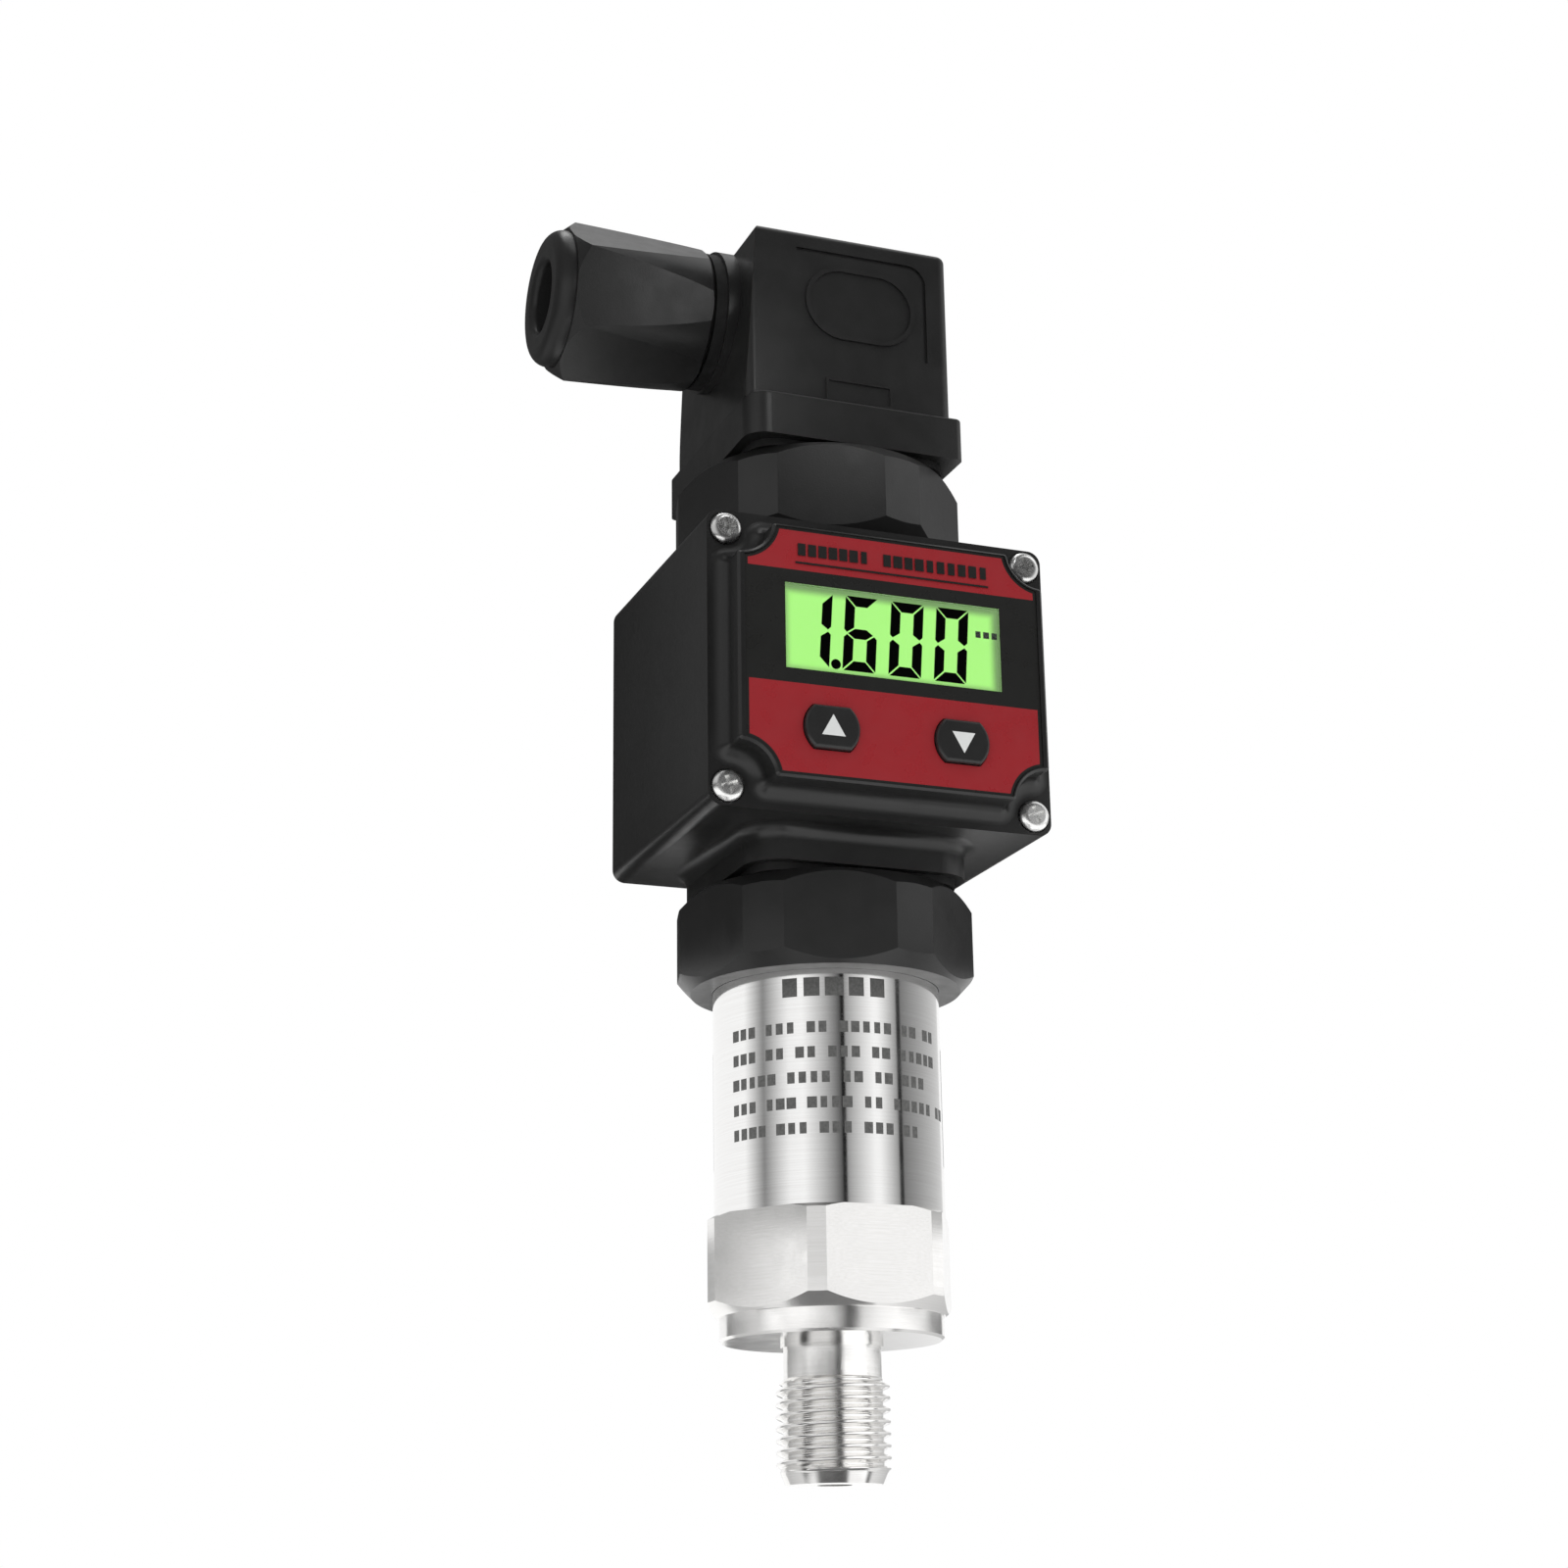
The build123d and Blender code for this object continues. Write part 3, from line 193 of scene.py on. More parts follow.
def moulded_plastic(name, dark, light, grain, depth, rough=0.33, level=0.5):
    """Plastic from a spark-eroded mould: an even satin with a fine grain and faint flow clouds."""
    material, tree = new_tree(name)
    clouds = speckle(tree, pattern_space(tree, 14), 0.0, 1.0)
    fine = speckle(tree, pattern_space(tree, grain), 0.0, 1.0)
    inputs = {
        "Base Color": colour_mix(tree, clouds, dark, light),
        "Roughness": speckle(tree, pattern_space(tree, 3), rough - 0.04, rough + 0.04),
        "Specular IOR Level": level,
        "Normal": bump(tree, fine, depth),
    }
    surface(tree, inputs)
    return material


def turned_steel(name):
    """Bar steel turned on a lathe: fine rings that draw the reflections out a little."""
    material, tree = new_tree(name)
    rings = speckle(tree, ring_space(tree, 0.16), 0.0, 1.0, detail=2.0)
    inputs = {
        "Base Color": colour_mix(tree, rings, "#f1f0ee", "#f8f7f6"),
        "Metallic": 1.0,
        "Roughness": speckle(tree, pattern_space(tree, 2.5), 0.14, 0.2),
        "Normal": bump(tree, rings, 0.0006),
    }
    surface(tree, inputs)
    return material


def polished_tube(name):
    """Drawn tube, polished round: clear, narrow reflections with faint hair lines round it."""
    material, tree = new_tree(name)
    hairs = speckle(tree, pattern_space(tree, 0.14, (90, 90, 1)), 0.0, 1.0, detail=2.0)
    inputs = {
        "Base Color": colour_mix(tree, hairs, "#efeeed", "#f6f6f5"),
        "Metallic": 1.0,
        "Roughness": speckle(tree, pattern_space(tree, 4), 0.08, 0.12),
        "Normal": bump(tree, hairs, 0.0002),
    }
    surface(tree, inputs)
    return material


def plated_metal(name, dark, light, rough):
    """Plated small parts: bright, with the slight unevenness of a barrel plating."""
    material, tree = new_tree(name)
    patches = speckle(tree, pattern_space(tree, 0.9), 0.0, 1.0)
    inputs = {
        "Base Color": colour_mix(tree, patches, dark, light),
        "Metallic": 1.0,
        "Roughness": speckle(tree, pattern_space(tree, 0.5), rough - 0.04, rough + 0.04),
        "Normal": bump(tree, patches, 0.0008),
    }
    surface(tree, inputs)
    return material


def printed_film(name, dark, light, level=0.35):
    """Ink under polyester film: flat colour with the faint tooth of a screen print."""
    material, tree = new_tree(name)
    tooth = speckle(tree, pattern_space(tree, 0.25), 0.0, 1.0)
    pull = speckle(tree, pattern_space(tree, 6, (3, 1, 1)), 0.0, 1.0)
    inputs = {
        "Base Color": colour_mix(tree, pull, dark, light),
        "Roughness": speckle(tree, pattern_space(tree, 2), 0.26, 0.32),
        "Specular IOR Level": level,
        "Normal": bump(tree, tooth, 0.0003),
    }
    surface(tree, inputs)
    return material


def moulded_rubber(name):
    """Press-moulded nitrile rubber: dull, with a dusty bloom in patches."""
    material, tree = new_tree(name)
    bloom = speckle(tree, pattern_space(tree, 1.8), 0.0, 1.0)
    inputs = {
        "Base Color": colour_mix(tree, bloom, "#161616", "#1f1f1f"),
        "Roughness": speckle(tree, pattern_space(tree, 0.7), 0.62, 0.75),
        "Specular IOR Level": 0.2,
        "Normal": bump(tree, bloom, 0.01),
    }
    surface(tree, inputs)
    return material


def sintered_ceramic(name):
    """Sintered alumina: chalky white with a fine sugar grain."""
    material, tree = new_tree(name)
    grain = speckle(tree, pattern_space(tree, 0.2), 0.0, 1.0)
    inputs = {
        "Base Color": colour_mix(tree, grain, "#e6e1d8", "#f2efe8"),
        "Roughness": speckle(tree, pattern_space(tree, 1), 0.5, 0.6),
        "Normal": bump(tree, grain, 0.003),
    }
    surface(tree, inputs)
    return material


def masked_board(name):
    """Solder mask over copper: glossy green, a shade darker where no copper lies under it."""
    material, tree = new_tree(name)
    traces = speckle(tree, pattern_space(tree, 1.6, (1, 1, 4)), 0.0, 1.0, detail=1.0)
    inputs = {
        "Base Color": colour_mix(tree, traces, "#0f4f2c", "#1c6a3c"),
        "Roughness": speckle(tree, pattern_space(tree, 2), 0.25, 0.32),
        "Normal": bump(tree, traces, 0.02),
    }
    surface(tree, inputs)
    return material


def ribbon_film(name):
    """Polyimide film over copper strips: amber, with darker lanes along its length."""
    material, tree = new_tree(name)
    lanes = speckle(tree, pattern_space(tree, 0.6, (1, 1, 60)), 0.0, 1.0, detail=1.0)
    inputs = {
        "Base Color": colour_mix(tree, lanes, "#9a5a12", "#d9973a"),
        "Roughness": speckle(tree, pattern_space(tree, 2), 0.2, 0.28),
    }
    surface(tree, inputs)
    return material


def clear_acrylic(name):
    """Cast acrylic with a hard coat: clear, its only trace a soft unevenness of the gloss."""
    material, tree = new_tree(name)
    inputs = {
        "Base Color": to_linear("#fbfdfb"),
        "Roughness": speckle(tree, pattern_space(tree, 5), 0.0, 0.02),
        "IOR": 1.49,
        "Transmission Weight": 1.0,
    }
    surface(tree, inputs)
    return material


def lit_crystal_cell(name):
    """The lit display field: even green light, darkened by painted shade in a soft band along the frame,
    where the window's frame shades it.
    """
    material, tree = new_tree(name)
    where = add(tree, "SeparateXYZ", {0: add(tree, "TexCoord").outputs["Object"]})
    # The band of painted shade is centred a little low and to the left, so it is wider at the top and right.
    across = add(tree, "Math", {0: where.outputs["X"], 1: 0.2 * MM}, operation="ADD").outputs[0]
    side = add(tree, "Math", {0: across}, operation="ABSOLUTE").outputs[0]
    middle = (WINDOW_Z - 0.25) * MM
    up = add(tree, "Math", {0: where.outputs["Z"], 1: middle}, operation="SUBTRACT").outputs[0]
    rise = add(tree, "Math", {0: up}, operation="ABSOLUTE").outputs[0]
    from_side = add(tree, "Math", {0: WINDOW_W / 2 * MM, 1: side}, operation="SUBTRACT").outputs[0]
    from_end = add(tree, "Math", {0: WINDOW_H / 2 * MM, 1: rise}, operation="SUBTRACT").outputs[0]
    # Painted shade: the field darkens towards its edges, standing in for the frame's shadow.
    near = {0: from_side, 1: from_end, 2: 0.6 * MM}
    edge = add(tree, "Math", near, operation="SMOOTH_MIN").outputs[0]
    frame_shade_range = {"Value": edge, "From Min": 0.0, "From Max": 1.2 * MM}
    frame_shade = add(tree, "MapRange", frame_shade_range, interpolation_type="SMOOTHSTEP").outputs[0]
    haze = speckle(tree, pattern_space(tree, 7), 0.97, 1.0)
    light = add(tree, "Math", {0: frame_shade, 1: haze}, operation="MULTIPLY").outputs[0]
    # The dark end #69954f is the painted shade colour next to the frame.
    glow = colour_mix(tree, light, "#69954f", "#aafc79")
    inputs = {
        "Base Color": to_linear("#101a0c"),
        "Roughness": 0.3,
        "Emission Color": glow,
        "Emission Strength": 1.0,
    }
    surface(tree, inputs)
    return material


def dark_crystal(name):
    """Dark crystal segments: a near-black green, a touch lighter where the cell is thin."""
    material, tree = new_tree(name)
    thin = speckle(tree, pattern_space(tree, 2), 0.0, 1.0)
    inputs = {
        "Base Color": colour_mix(tree, thin, "#041504", "#0a220a"),
        "Roughness": 0.4,
        "Specular IOR Level": 0.1,
    }
    surface(tree, inputs)
    return material


def light_guide(name):
    """Milky light guide with a dot print that spreads the light."""
    material, tree = new_tree(name)
    dots = speckle(tree, pattern_space(tree, 0.8), 0.0, 1.0)
    inputs = {
        "Base Color": colour_mix(tree, dots, "#dfe8d0", "#f3f8ea"),
        "Roughness": 0.35,
        "Normal": bump(tree, dots, 0.01),
    }
    surface(tree, inputs)
    return material


def tube_ink(name):
    """Laser-annealed marking on steel: a matt grey-black stain, uneven at its edges."""
    material, tree = new_tree(name)
    stain = speckle(tree, pattern_space(tree, 0.3), 0.0, 1.0)
    inputs = {
        "Base Color": colour_mix(tree, stain, "#4e4e4d", "#626261"),
        "Roughness": speckle(tree, pattern_space(tree, 0.5), 0.5, 0.6),
        "Specular IOR Level": 0.3,
    }
    surface(tree, inputs)
    return material


def pale_floor(name):
    """A matt paper sweep: pale, with a barely seen mottle."""
    material, tree = new_tree(name)
    mottle = speckle(tree, pattern_space(tree, 40), 0.0, 1.0)
    inputs = {
        "Base Color": colour_mix(tree, mottle, "#f4f4f3", "#f8f8f8"),
        "Roughness": 0.8,
        "Specular IOR Level": 0.1,
    }
    surface(tree, inputs)
    return material


def make_materials():
    """One finished material for each of the record's material slots."""
    return {
        "steel_turned": turned_steel("stainless_bar_turned"),
        "steel_tube": polished_tube("stainless_tube_polished"),
        "plastic_black": moulded_plastic("nylon_moulded_satin", "#1a1a1a", "#1f1f1f", 0.22, 0.004),
        "plastic_cover": moulded_plastic("cover_nylon_moulded", "#181818", "#1d1d1d", 0.22, 0.003),
        "insert_grey": moulded_plastic("polyamide_insert_moulded", "#4a4a4c", "#525254", 0.3, 0.004),
        "key_grey": moulded_plastic("key_cap_moulded", "#1d1d1d", "#232323", 0.25, 0.004),
        "chip_black": moulded_plastic("chip_epoxy_moulded", "#1c1c1c", "#232323", 0.15, 0.004),
        "rubber_black": moulded_rubber("nitrile_rubber_moulded"),
        "ceramic_white": sintered_ceramic("alumina_sintered"),
        "board_green": masked_board("circuit_board_masked"),
        "ribbon_amber": ribbon_film("polyimide_ribbon_laminated"),
        "contact_tin": plated_metal("brass_tinned", "#cfccc4", "#dedbd3", 0.3),
        "screw_zinc": plated_metal("steel_zinc_plated", "#f3f3f2", "#fbfbfa", 0.27),
        "label_black": printed_film("polyester_film_black", "#1f1f1e", "#222221"),
        "label_red": printed_film("polyester_film_red", "#8f1c23", "#931c23"),
        "arrow_white": printed_film("key_inlay_white", "#cdcfce", "#d6d7d6"),
        "window_clear": clear_acrylic("acrylic_cast_clear"),
        "lcd_field": lit_crystal_cell("crystal_cell_lit"),
        "lcd_dark": dark_crystal("crystal_segments_dark"),
        "backlight_white": light_guide("light_guide_milky"),
    }


def paint(piece, material):
    piece.data.materials.clear()
    piece.data.materials.append(material)


def paint_nodes(materials):
    """Every CAD node takes the material of the slot that the record gives it."""
    for row in frame["record"]["subparts"]:
        paint(NODES[row["node"]], materials[row["material_slot"]])


def new_piece(name, mesh_work, body, material):
    """Closes a bmesh into a piece at the origin that rides on a body and takes a slot's finish."""
    bmesh.ops.recalc_face_normals(mesh_work, faces=mesh_work.faces)
    mesh = bpy.data.meshes.new(name)
    mesh_work.to_mesh(mesh)
    mesh_work.free()
    piece = bpy.data.objects.new(name, mesh)
    bpy.context.scene.collection.objects.link(piece)
    paint(piece, material)
    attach(piece, body)
    return piece


def loop_to(work, edges, radius, height=None):
    """Extrudes a loop of edges and brings the new loop to a radius and, if given, a height."""
    grown = bmesh.ops.extrude_edge_only(work, edges=edges)["geom"]
    for vertex in [g for g in grown if isinstance(g, bmesh.types.BMVert)]:
        reach = math.hypot(vertex.co.x, vertex.co.y)
        vertex.co.x *= radius * MM / reach
        vertex.co.y *= radius * MM / reach
        if height is not None:
            vertex.co.z = height * MM
    return [g for g in grown if isinstance(g, bmesh.types.BMEdge)]


def cut_loop(work, height, side):
    """Cuts the mesh level at a height, drops the part above (side 1) or below (-1), gives the edges."""
    everything = work.verts[:] + work.edges[:] + work.faces[:]
    plane = {"plane_co": (0, 0, height * MM), "plane_no": (0, 0, side), "dist": 1e-7}
    cut = bmesh.ops.bisect_plane(work, geom=everything, clear_outer=True, **plane)["geom_cut"]
    return [g for g in cut if isinstance(g, bmesh.types.BMEdge)]


def thread_profile(work):
    """One pitch of the rounded 55 degree thread, as a chain of edges from root to root."""
    half_depth = 0.5 * (THREAD_R - THREAD_ROOT_R)
    chain = []
    for i in range(PROFILE_STEPS + 1):
        wave = -math.cos(2 * math.pi * i / PROFILE_STEPS)
        swing = 1.4 * wave - 0.4 * wave ** 3
        height = THREAD_PITCH * (i / PROFILE_STEPS - 1.5)
        reach = THREAD_ROOT_R + half_depth * (1 + swing)
        chain.append(work.verts.new((0, -reach * MM, height * MM)))
    return chain, [work.edges.new(pair) for pair in zip(chain, chain[1:])]


def stem_radius(cut, height):
    """The stem's radius where the thread would give cut: a smooth lead below, a run-out above."""
    above = max(0, height - LEAD_TOP)
    lead = THREAD_R - TIP_CHAMFER + LEAD_SLOPE * (height - above) + above
    limit = min(lead, THREAD_R - max(0, height - THREAD_TOP))
    depth = min(1, above / LEAD_FADE)
    return limit - depth * max(0, limit - cut)


def threaded_stem():
    """The stem's real G 1/4 thread with its chamfered tip, bored for the port, up to the neck."""
    work = bmesh.new()
    chain, edges = thread_profile(work)
    # Four turns to spare, so that both level cuts go through whole thread.
    turns = math.ceil(THREAD_TOP / THREAD_PITCH) + 4
    lift = (0, 0, THREAD_PITCH * MM / THREAD_STEPS)
    turn = {"axis": (0, 0, 1), "angle": 2 * math.pi * turns, "steps": THREAD_STEPS * turns}
    bmesh.ops.spin(work, geom=chain + edges, cent=(0, 0, 0), dvec=lift, use_merge=False, **turn)
    bmesh.ops.remove_doubles(work, verts=work.verts, dist=0.002 * MM)
    cut_loop(work, 0, -1)
    high = cut_loop(work, THREAD_TOP + THREAD_R - NECK_R, 1)
    for vertex in work.verts:
        reach = math.hypot(vertex.co.x, vertex.co.y) / MM
        change = stem_radius(reach, vertex.co.z / MM) / reach
        vertex.co.x *= change
        vertex.co.y *= change
    high = loop_to(work, high, NECK_R, NECK_CUT)
    low = [e for e in work.edges if e.is_boundary and all(v.co.z < 0.001 * MM for v in e.verts)]
    low = loop_to(work, low, PORT_R)
    low = loop_to(work, low, PORT_R, NECK_CUT)
    bmesh.ops.bridge_loops(work, edges=low + high)
    return work


def upper_fitting():
    """The CAD fitting from the neck up, as a copy closed where the stem was cut off."""
    work = bmesh.new()
    work.from_mesh(NODES["process_fitting"].data)
    bmesh.ops.remove_doubles(work, verts=work.verts, dist=0.001 * MM)
    rim = cut_loop(work, NECK_CUT, -1)
    bmesh.ops.bridge_loops(work, edges=rim)
    return work


def make_fitting(materials):
    """The fitting as shown: the turned body with the cut thread in place of the plain stem."""
    work = upper_fitting()
    stem = threaded_stem()
    scratch = bpy.data.meshes.new("stem")
    stem.to_mesh(scratch)
    stem.free()
    work.from_mesh(scratch)
    bpy.data.meshes.remove(scratch)
    piece = new_piece("threaded_fitting", work, "transmitter", materials["steel_turned"])
    # The normals stored with the CAD mesh don't fit the faces added here.
    piece.data.attributes.remove(piece.data.attributes["custom_normal"])
    piece.data.shade_smooth()
    piece.data.set_sharp_from_angle(angle=math.radians(SHARP_ANGLE))
    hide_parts("process_fitting")


def add_bar(work, size, place):
    """A thin bar added to a bmesh, its size and middle in millimetres."""
    where = Matrix.Translation(Vector(place) * MM) @ Matrix.Diagonal([s * MM for s in size] + [1])
    bmesh.ops.create_cube(work, size=1, matrix=where)


def wrap_round(work, radius):
    """Bends flat bars, drawn along X with their face to -Y, round a tube on the Z axis."""
    long_edges = [e for e in work.edges if abs(e.verts[0].co.x - e.verts[1].co.x) > LONG_EDGE * MM]
    bmesh.ops.subdivide_edges(work, edges=long_edges, cuts=2)
    for vertex in work.verts:
        angle = vertex.co.x / (radius * MM)
        reach = radius * MM - vertex.co.y
        vertex.co.x = reach * math.sin(angle)
        vertex.co.y = -reach * math.cos(angle)


def add_marks(work, draw, start, height, count, pitch, tall, where_y=0.0):
    """A row of plain solid blocks of drawn widths, one to a pitch, in place of words."""
    for index in range(count):
        wide = pitch * draw.uniform(0.55, 0.85)
        add_bar(work, (wide, BAR_T, tall), (start + (index + 0.5) * pitch, where_y, height))


def make_tube_print(material):
    """A row of large blocks over rows of small ones, in groups, round the front of the tube."""
    draw = random.Random(11)
    work = bmesh.new()
    add_marks(work, draw, -10.7, TITLE_Z, 5, TITLE_PITCH, TITLE_TALL)
    for row in range(ROW_COUNT):
        x = ROW_LEFT
        height = ROW_TOP_Z - ROW_STEP * row
        stop = draw.uniform(4.0, 11.0)
        while x < stop:
            count = draw.randint(2, 5)
            add_marks(work, draw, x, height, count, ROW_PITCH, ROW_TALL)
            x += ROW_PITCH * (count + 0.8)
    wrap_round(work, TUBE_R)
    new_piece("tube_marks", work, "transmitter", material)


def make_header_marks(material):
    """Two groups of plain blocks over a rule across the head of the label."""
    draw = random.Random(5)
    work = bmesh.new()
    for start, count, pitch in ((-12.1, 7, 1.3), (-1.4, 10, 1.37)):
        add_marks(work, draw, start, HEADER_Z, count, pitch, HEADER_TALL, LABEL_FACE)
    add_bar(work, (HEADER_RULE_W, BAR_T, HEADER_RULE_T), (0, LABEL_FACE, HEADER_RULE_Z))
    new_piece("header_marks", work, "transmitter", material)


def make_unit_marks(material):
    """Three small dark blocks right of the digits, in the display's own plane."""
    work = bmesh.new()
    add_marks(work, random.Random(3), 10.4, UNIT_Z, 3, UNIT_PITCH, UNIT_TALL, DISPLAY_Y)
    new_piece("unit_marks", work, "transmitter", material)


def make_floor():
    work = bmesh.new()
    place = Matrix.Translation((0, 0, FLOOR_Z * MM))
    bmesh.ops.create_grid(work, x_segments=1, y_segments=1, size=FLOOR_SIZE, matrix=place)
    stage_piece("floor", work, pale_floor("paper_sweep"))


def stage_piece(name, work, material):
    """Turns a bmesh into a piece of the stage, such as the floor or a reflector card."""
    mesh = bpy.data.meshes.new(name)
    work.to_mesh(mesh)
    work.free()
    made = bpy.data.objects.new(name, mesh)
    bpy.context.scene.collection.objects.link(made)
    paint(made, material)
    return made


def hide_from_all_but_gloss(card):
    """A reflector card shows in glossy reflections only: it lights and shades nothing."""
    card.visible_camera = False
    card.visible_diffuse = False
    card.visible_shadow = False
    card.visible_transmission = False


def card_material(name, start, stop, first, last):
    """A graded reflector card: its light runs evenly from one level to another, by angle."""
    material, tree = new_tree(name)
    where = add(tree, "SeparateXYZ", {0: add(tree, "TexCoord").outputs["Object"]})
    back = add(tree, "Math", {0: where.outputs["Y"], 1: -1.0}, operation="MULTIPLY").outputs[0]
    angle = add(tree, "Math", {0: where.outputs["X"], 1: back}, operation="ARCTAN2").outputs[0]
    ends = {"From Min": math.radians(start), "From Max": math.radians(stop), "To Min": first, "To Max": last}
    level = add(tree, "MapRange", {"Value": angle} | ends).outputs[0]
    lamp = add(tree, "Emission", {"Color": (1, 1, 1, 1), "Strength": level})
    add(tree, "OutputMaterial", {"Surface": lamp.outputs[0]})
    return material


def make_card(name, start, stop, first, last, reach, low, high, head_reach=None):
    """A curved card round the part, between two angles, seen only in glossy reflections."""
    work = bmesh.new()
    turn = math.radians(start)
    out = Vector((math.sin(turn), -math.cos(turn), 0))
    feet = work.verts.new(out * reach + Vector((0, 0, low)))
    head = work.verts.new(out * (head_reach or reach) + Vector((0, 0, high)))
    edge = work.edges.new((feet, head))
    sweep = {"axis": (0, 0, 1), "cent": (0, 0, 0), "angle": math.radians(stop - start)}
    bmesh.ops.spin(work, geom=[feet, head, edge], steps=CARD_STEPS, use_merge=False, **sweep)
    card = stage_piece(name, work, card_material(name + "_cloth", start, stop, first, last))
    hide_from_all_but_gloss(card)


def make_ring(name, stops, reach, low, high, head_reach=None):
    """Graded cards side by side round the part; each stop is an angle and the light there."""
    for index, ((start, first), (stop, last)) in enumerate(zip(stops, stops[1:])):
        if stop > start:
            make_card(f"{name}_{index + 1}", start, stop, first, last, reach, low, high, head_reach)


def make_tube_cards():
    """Tall cards far out: the dark bands that give the polished tube its round shape."""
    # Left edge grey, then bright, then fading to the narrow dark line near the middle.
    left = [(-112, 1.0), (-88, 0.24), (-60, 0.95), (-46, 1.0), (-8, 0.08)]
    front = [(-8, 0.0), (-4, 0.0), (-4, 0.33), (25, 1.0), (30, 1.0), (52, 0.3)]
    right = [(52, 0.02), (57, 0.02), (57, 0.2), (130, 0.7)]
    make_ring("card_tube", left + front + right, FAR_REACH, -0.02, 0.9)


def make_fitting_cards():
    """Low rings of cards close by, one at the height that each part of the fitting mirrors."""
    # The left flat fades to grey beside a dark line; the right one stays bright.
    hexagon_left = [(-165, 0.45), (-135, 0.45), (-135, 1.0), (-97, 1.0), (-97, 0.1), (-81, 1.3)]
    hexagon_right = [(72, 1.15), (112, 1.15)]
    make_ring("card_hexagon_left", hexagon_left, NEAR_REACH, 0.0268, 0.036)
    make_ring("card_hexagon_right", hexagon_right, NEAR_REACH, 0.0268, 0.036)
    # The disc's side: one hard dark line right of the middle, grey towards both ends.
    disc_left = [(-147, 0.22), (-117, 0.34), (-95, 0.64), (-77, 1.25), (-53, 1.3), (-22, 0.95)]
    disc_right = [(-6, 0.05), (1, 0.05), (6, 0.6), (42, 1.3), (67, 1.0), (93, 0.3), (120, 0.15)]
    make_ring("card_disc", disc_left + disc_right, NEAR_REACH, 0.0215, 0.0265)
    # The neck: grey on the left, bright on the right.
    neck = [(-150, 0.35), (-75, 0.8), (-55, 0.2), (-4, 0.1), (6, 1.2), (70, 1.2), (140, 0.3)]
    make_ring("card_neck", neck, NEAR_REACH, 0.0165, 0.0214)
    # The thread's crests: dark lines left and right of the middle, bright beside the second.
    thread_left = [(-150, 0.3), (-100, 0.8), (-90, 0.05), (-79, 0.05), (-66, 0.75), (-31, 0.75)]
    thread_right = [(-10, 0.05), (-3, 0.05), (3, 1.3), (62, 1.3), (66, 0.1), (71, 0.1), (76, 0.9), (140, 0.5)]
    make_ring("card_thread", thread_left + thread_right, NEAR_REACH, 0.001, 0.0164)


def make_low_cards():
    """Cards that lean out from the floor: the bands that the thread's flanks and lead mirror."""
    flanks_left = [(-150, 0.5), (-100, 0.7), (-89, 0.06), (-75, 0.06), (-62, 0.8), (-22, 0.8), (-12, 0.06)]
    flanks_right = [(-2, 0.05), (4, 1.2), (54, 1.2), (58, 0.1), (64, 0.1), (70, 0.8), (140, 0.5)]
    make_ring("card_flanks", flanks_left + flanks_right, 0.027, -0.016, 0.0009, NEAR_REACH)
    # The lead: dark in the middle only.
    lead = [(-150, 0.7), (-70, 0.95), (-56, 0.1), (6, 0.1), (14, 1.0), (140, 0.7)]
    make_ring("card_lead", lead, 0.019, -0.0192, -0.016, 0.027)


def make_under_cards():
    """Cards behind the part, which its undersides mirror towards the camera."""
    make_ring("card_under_disc", [(145, 0.85), (170, 0.15)], UNDER_REACH, 0.0, 0.013)
    make_ring("card_under_nut", [(146, 0.05), (172, 0.05)], UNDER_REACH, 0.0345, 0.047)
    make_ring("card_under_box", [(134, 0.35), (178, 0.35)], UNDER_REACH, 0.047, 0.064)


def make_tent():
    """Dark rings close by, above the steel, which keep the black plastics deep."""
    make_ring("tent_skirt_left", [(-180, 0.05), (-60, 0.05)], SKIRT_REACH, 0.0625, 0.0725)
    make_ring("tent_skirt_right", [(75, 0.1), (180, 0.05)], SKIRT_REACH, 0.0625, 0.0725)
    # Both nuts: one lit strip to the right of the camera models their flats.
    left = [(-180, 0.05), (-60, 0.08), (-25, 0.2)]
    right = [(5, 0.2), (30, 0.06), (44, 1.1), (62, 1.0), (88, 0.15), (180, 0.05)]
    make_ring("tent_low_nut", left + right, TENT_REACH, 0.0725, 0.088)
    # The box: lit from both sides, so that its rounded edges read against dark faces.
    left = [(-180, 0.05), (-140, 0.05), (-110, 0.4), (-50, 0.5), (-25, 0.04)]
    right = [(38, 0.04), (60, 0.7), (150, 0.7), (180, 0.05)]
    make_ring("tent_box", left + right, TENT_REACH, 0.088, 0.13)
    left = [(-180, 0.1), (-85, 0.08), (-70, 0.6), (-45, 0.6), (-30, 0.08)]
    right = [(30, 0.06), (40, 1.3), (62, 1.0), (90, 0.25), (180, 0.1)]
    make_ring("tent_high_nut", left + right, TENT_REACH, 0.13, 0.148)
    around = [(-180, 0.12), (-100, 0.1), (0, 0.04), (40, 0.04), (70, 0.5), (180, 0.3)]
    make_ring("tent_plug", around, TENT_REACH, 0.148, 0.245)
    # A bright card close to the gland for the sheen on its front flat.
    make_ring("card_gland", [(-17, 0.1), (0, 4.4)], GLAND_REACH, 0.138, 0.158)


def make_floor_card():
    """A dark round card just over the floor, mirrored by the cones that look down."""
    work = bmesh.new()
    place = Matrix.Translation((0, 0, (FLOOR_Z + 1) * MM))
    level = 0.18
    bmesh.ops.create_circle(work, cap_ends=True, segments=48, radius=0.018, matrix=place)
    card = stage_piece("card_floor", work, card_material("card_floor_cloth", -180, 180, level, level))
    hide_from_all_but_gloss(card)


def make_lamp(name, place, aim, width, power):
    """A square soft box of a width in metres, aimed at a point."""
    data = bpy.data.lights.new(name, "AREA")
    data.shape = "SQUARE"
    data.size = width
    data.energy = power
    lamp = bpy.data.objects.new(name, data)
    bpy.context.scene.collection.objects.link(lamp)
    away = Vector(place) - Vector(aim)
    lamp.matrix_world = Matrix.Translation(place) @ away.to_track_quat("Z", "Y").to_matrix().to_4x4()


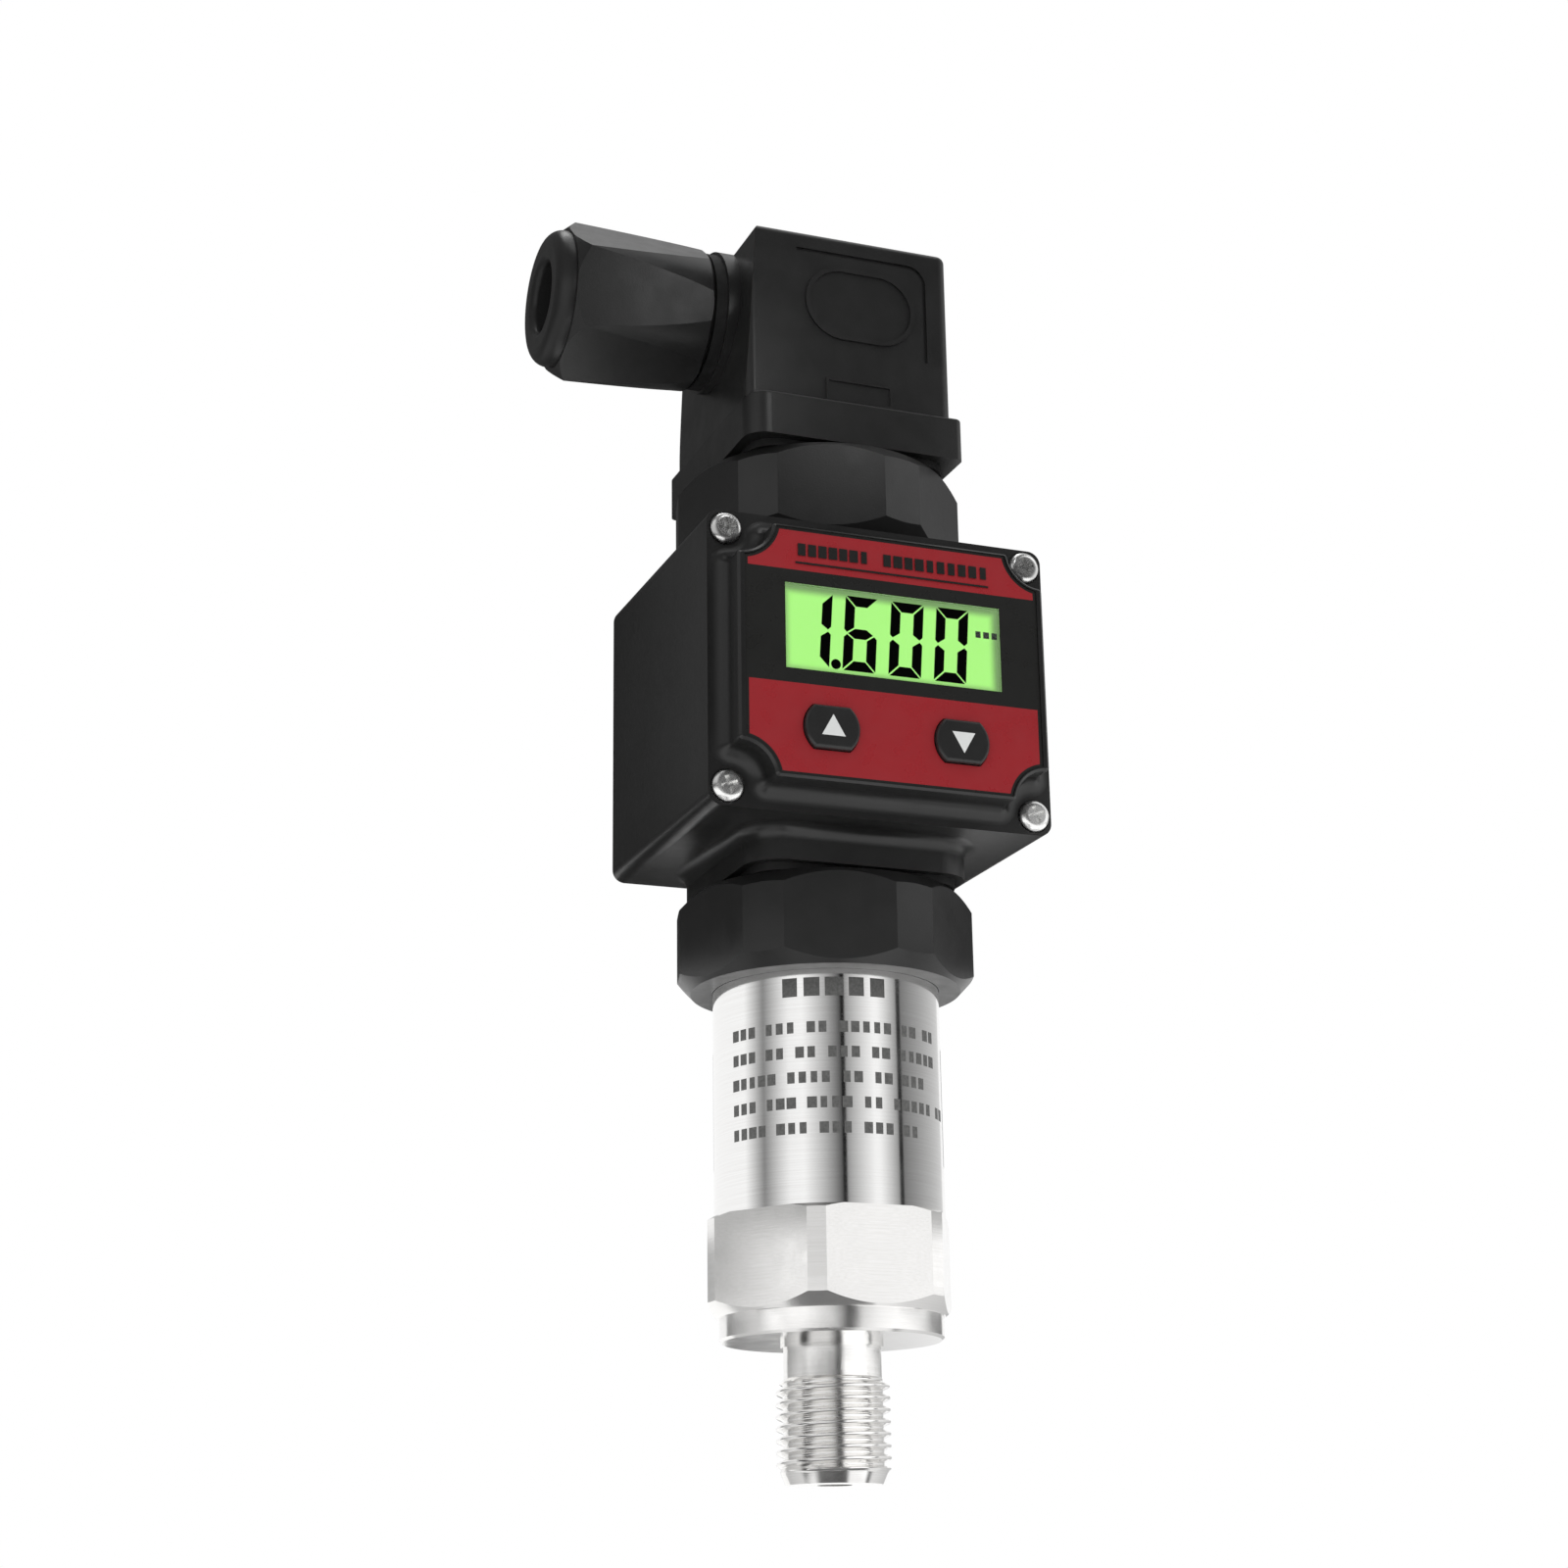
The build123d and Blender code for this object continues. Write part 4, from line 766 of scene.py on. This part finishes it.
def make_world():
    """A white room to the camera and in reflections, dimmer as the fill light."""
    world = bpy.data.worlds.new("studio")
    world.use_nodes = True
    tree = world.node_tree
    tree.nodes.clear()
    path = add(tree, "LightPath").outputs
    seen = path["Is Camera Ray"]
    for ray in ("Is Glossy Ray", "Is Transmission Ray"):
        seen = add(tree, "Math", {0: seen, 1: path[ray]}, operation="MAXIMUM").outputs[0]
    power = add(tree, "MapRange", {"Value": seen, "To Min": 0.9, "To Max": 1.0}).outputs[0]
    sky = add(tree, "Background", {"Color": (1, 1, 1, 1), "Strength": power})
    add(tree, "OutputWorld", {"Surface": sky.outputs[0]})
    bpy.context.scene.world = world


def make_camera():
    data = bpy.data.cameras.new("camera")
    data.lens = LENS
    data.sensor_width = SENSOR_W
    camera = bpy.data.objects.new("camera", data)
    bpy.context.scene.collection.objects.link(camera)
    turn, rise, roll = (math.radians(v) for v in (CAMERA_TURN, CAMERA_RISE, CAMERA_ROLL))
    back = Vector((-math.sin(turn) * math.cos(rise), -math.cos(turn) * math.cos(rise), -math.sin(rise)))
    right = Vector((math.cos(turn), -math.sin(turn), 0))
    up = back.cross(right)
    level = Matrix((right, up, back)).transposed().to_4x4()
    camera.matrix_world = Matrix.Translation(Vector(EYE) * MM) @ level @ Matrix.Rotation(roll, 4, "Z")
    bpy.context.scene.camera = camera


def main():
    bpy.context.scene.view_settings.view_transform = "Standard"
    materials = make_materials()
    paint_nodes(materials)
    make_fitting(materials)
    make_tube_print(tube_ink("steel_laser_marked"))
    make_header_marks(materials["label_black"])
    make_unit_marks(materials["lcd_dark"])
    make_floor()
    make_world()
    make_tube_cards()
    make_fitting_cards()
    make_low_cards()
    make_under_cards()
    make_floor_card()
    make_tent()
    make_lamp("key_box", (0.72, -0.15, 0.8), LAMP_AIM, 0.5, 2.5)
    make_lamp("fill_box", (-0.6, -0.5, 0.9), LAMP_AIM, 0.6, 1.2)
    make_lamp("top_box", (-0.1, 0.4, 1.0), LAMP_AIM, 0.5, 1.5)
    make_camera()


main()
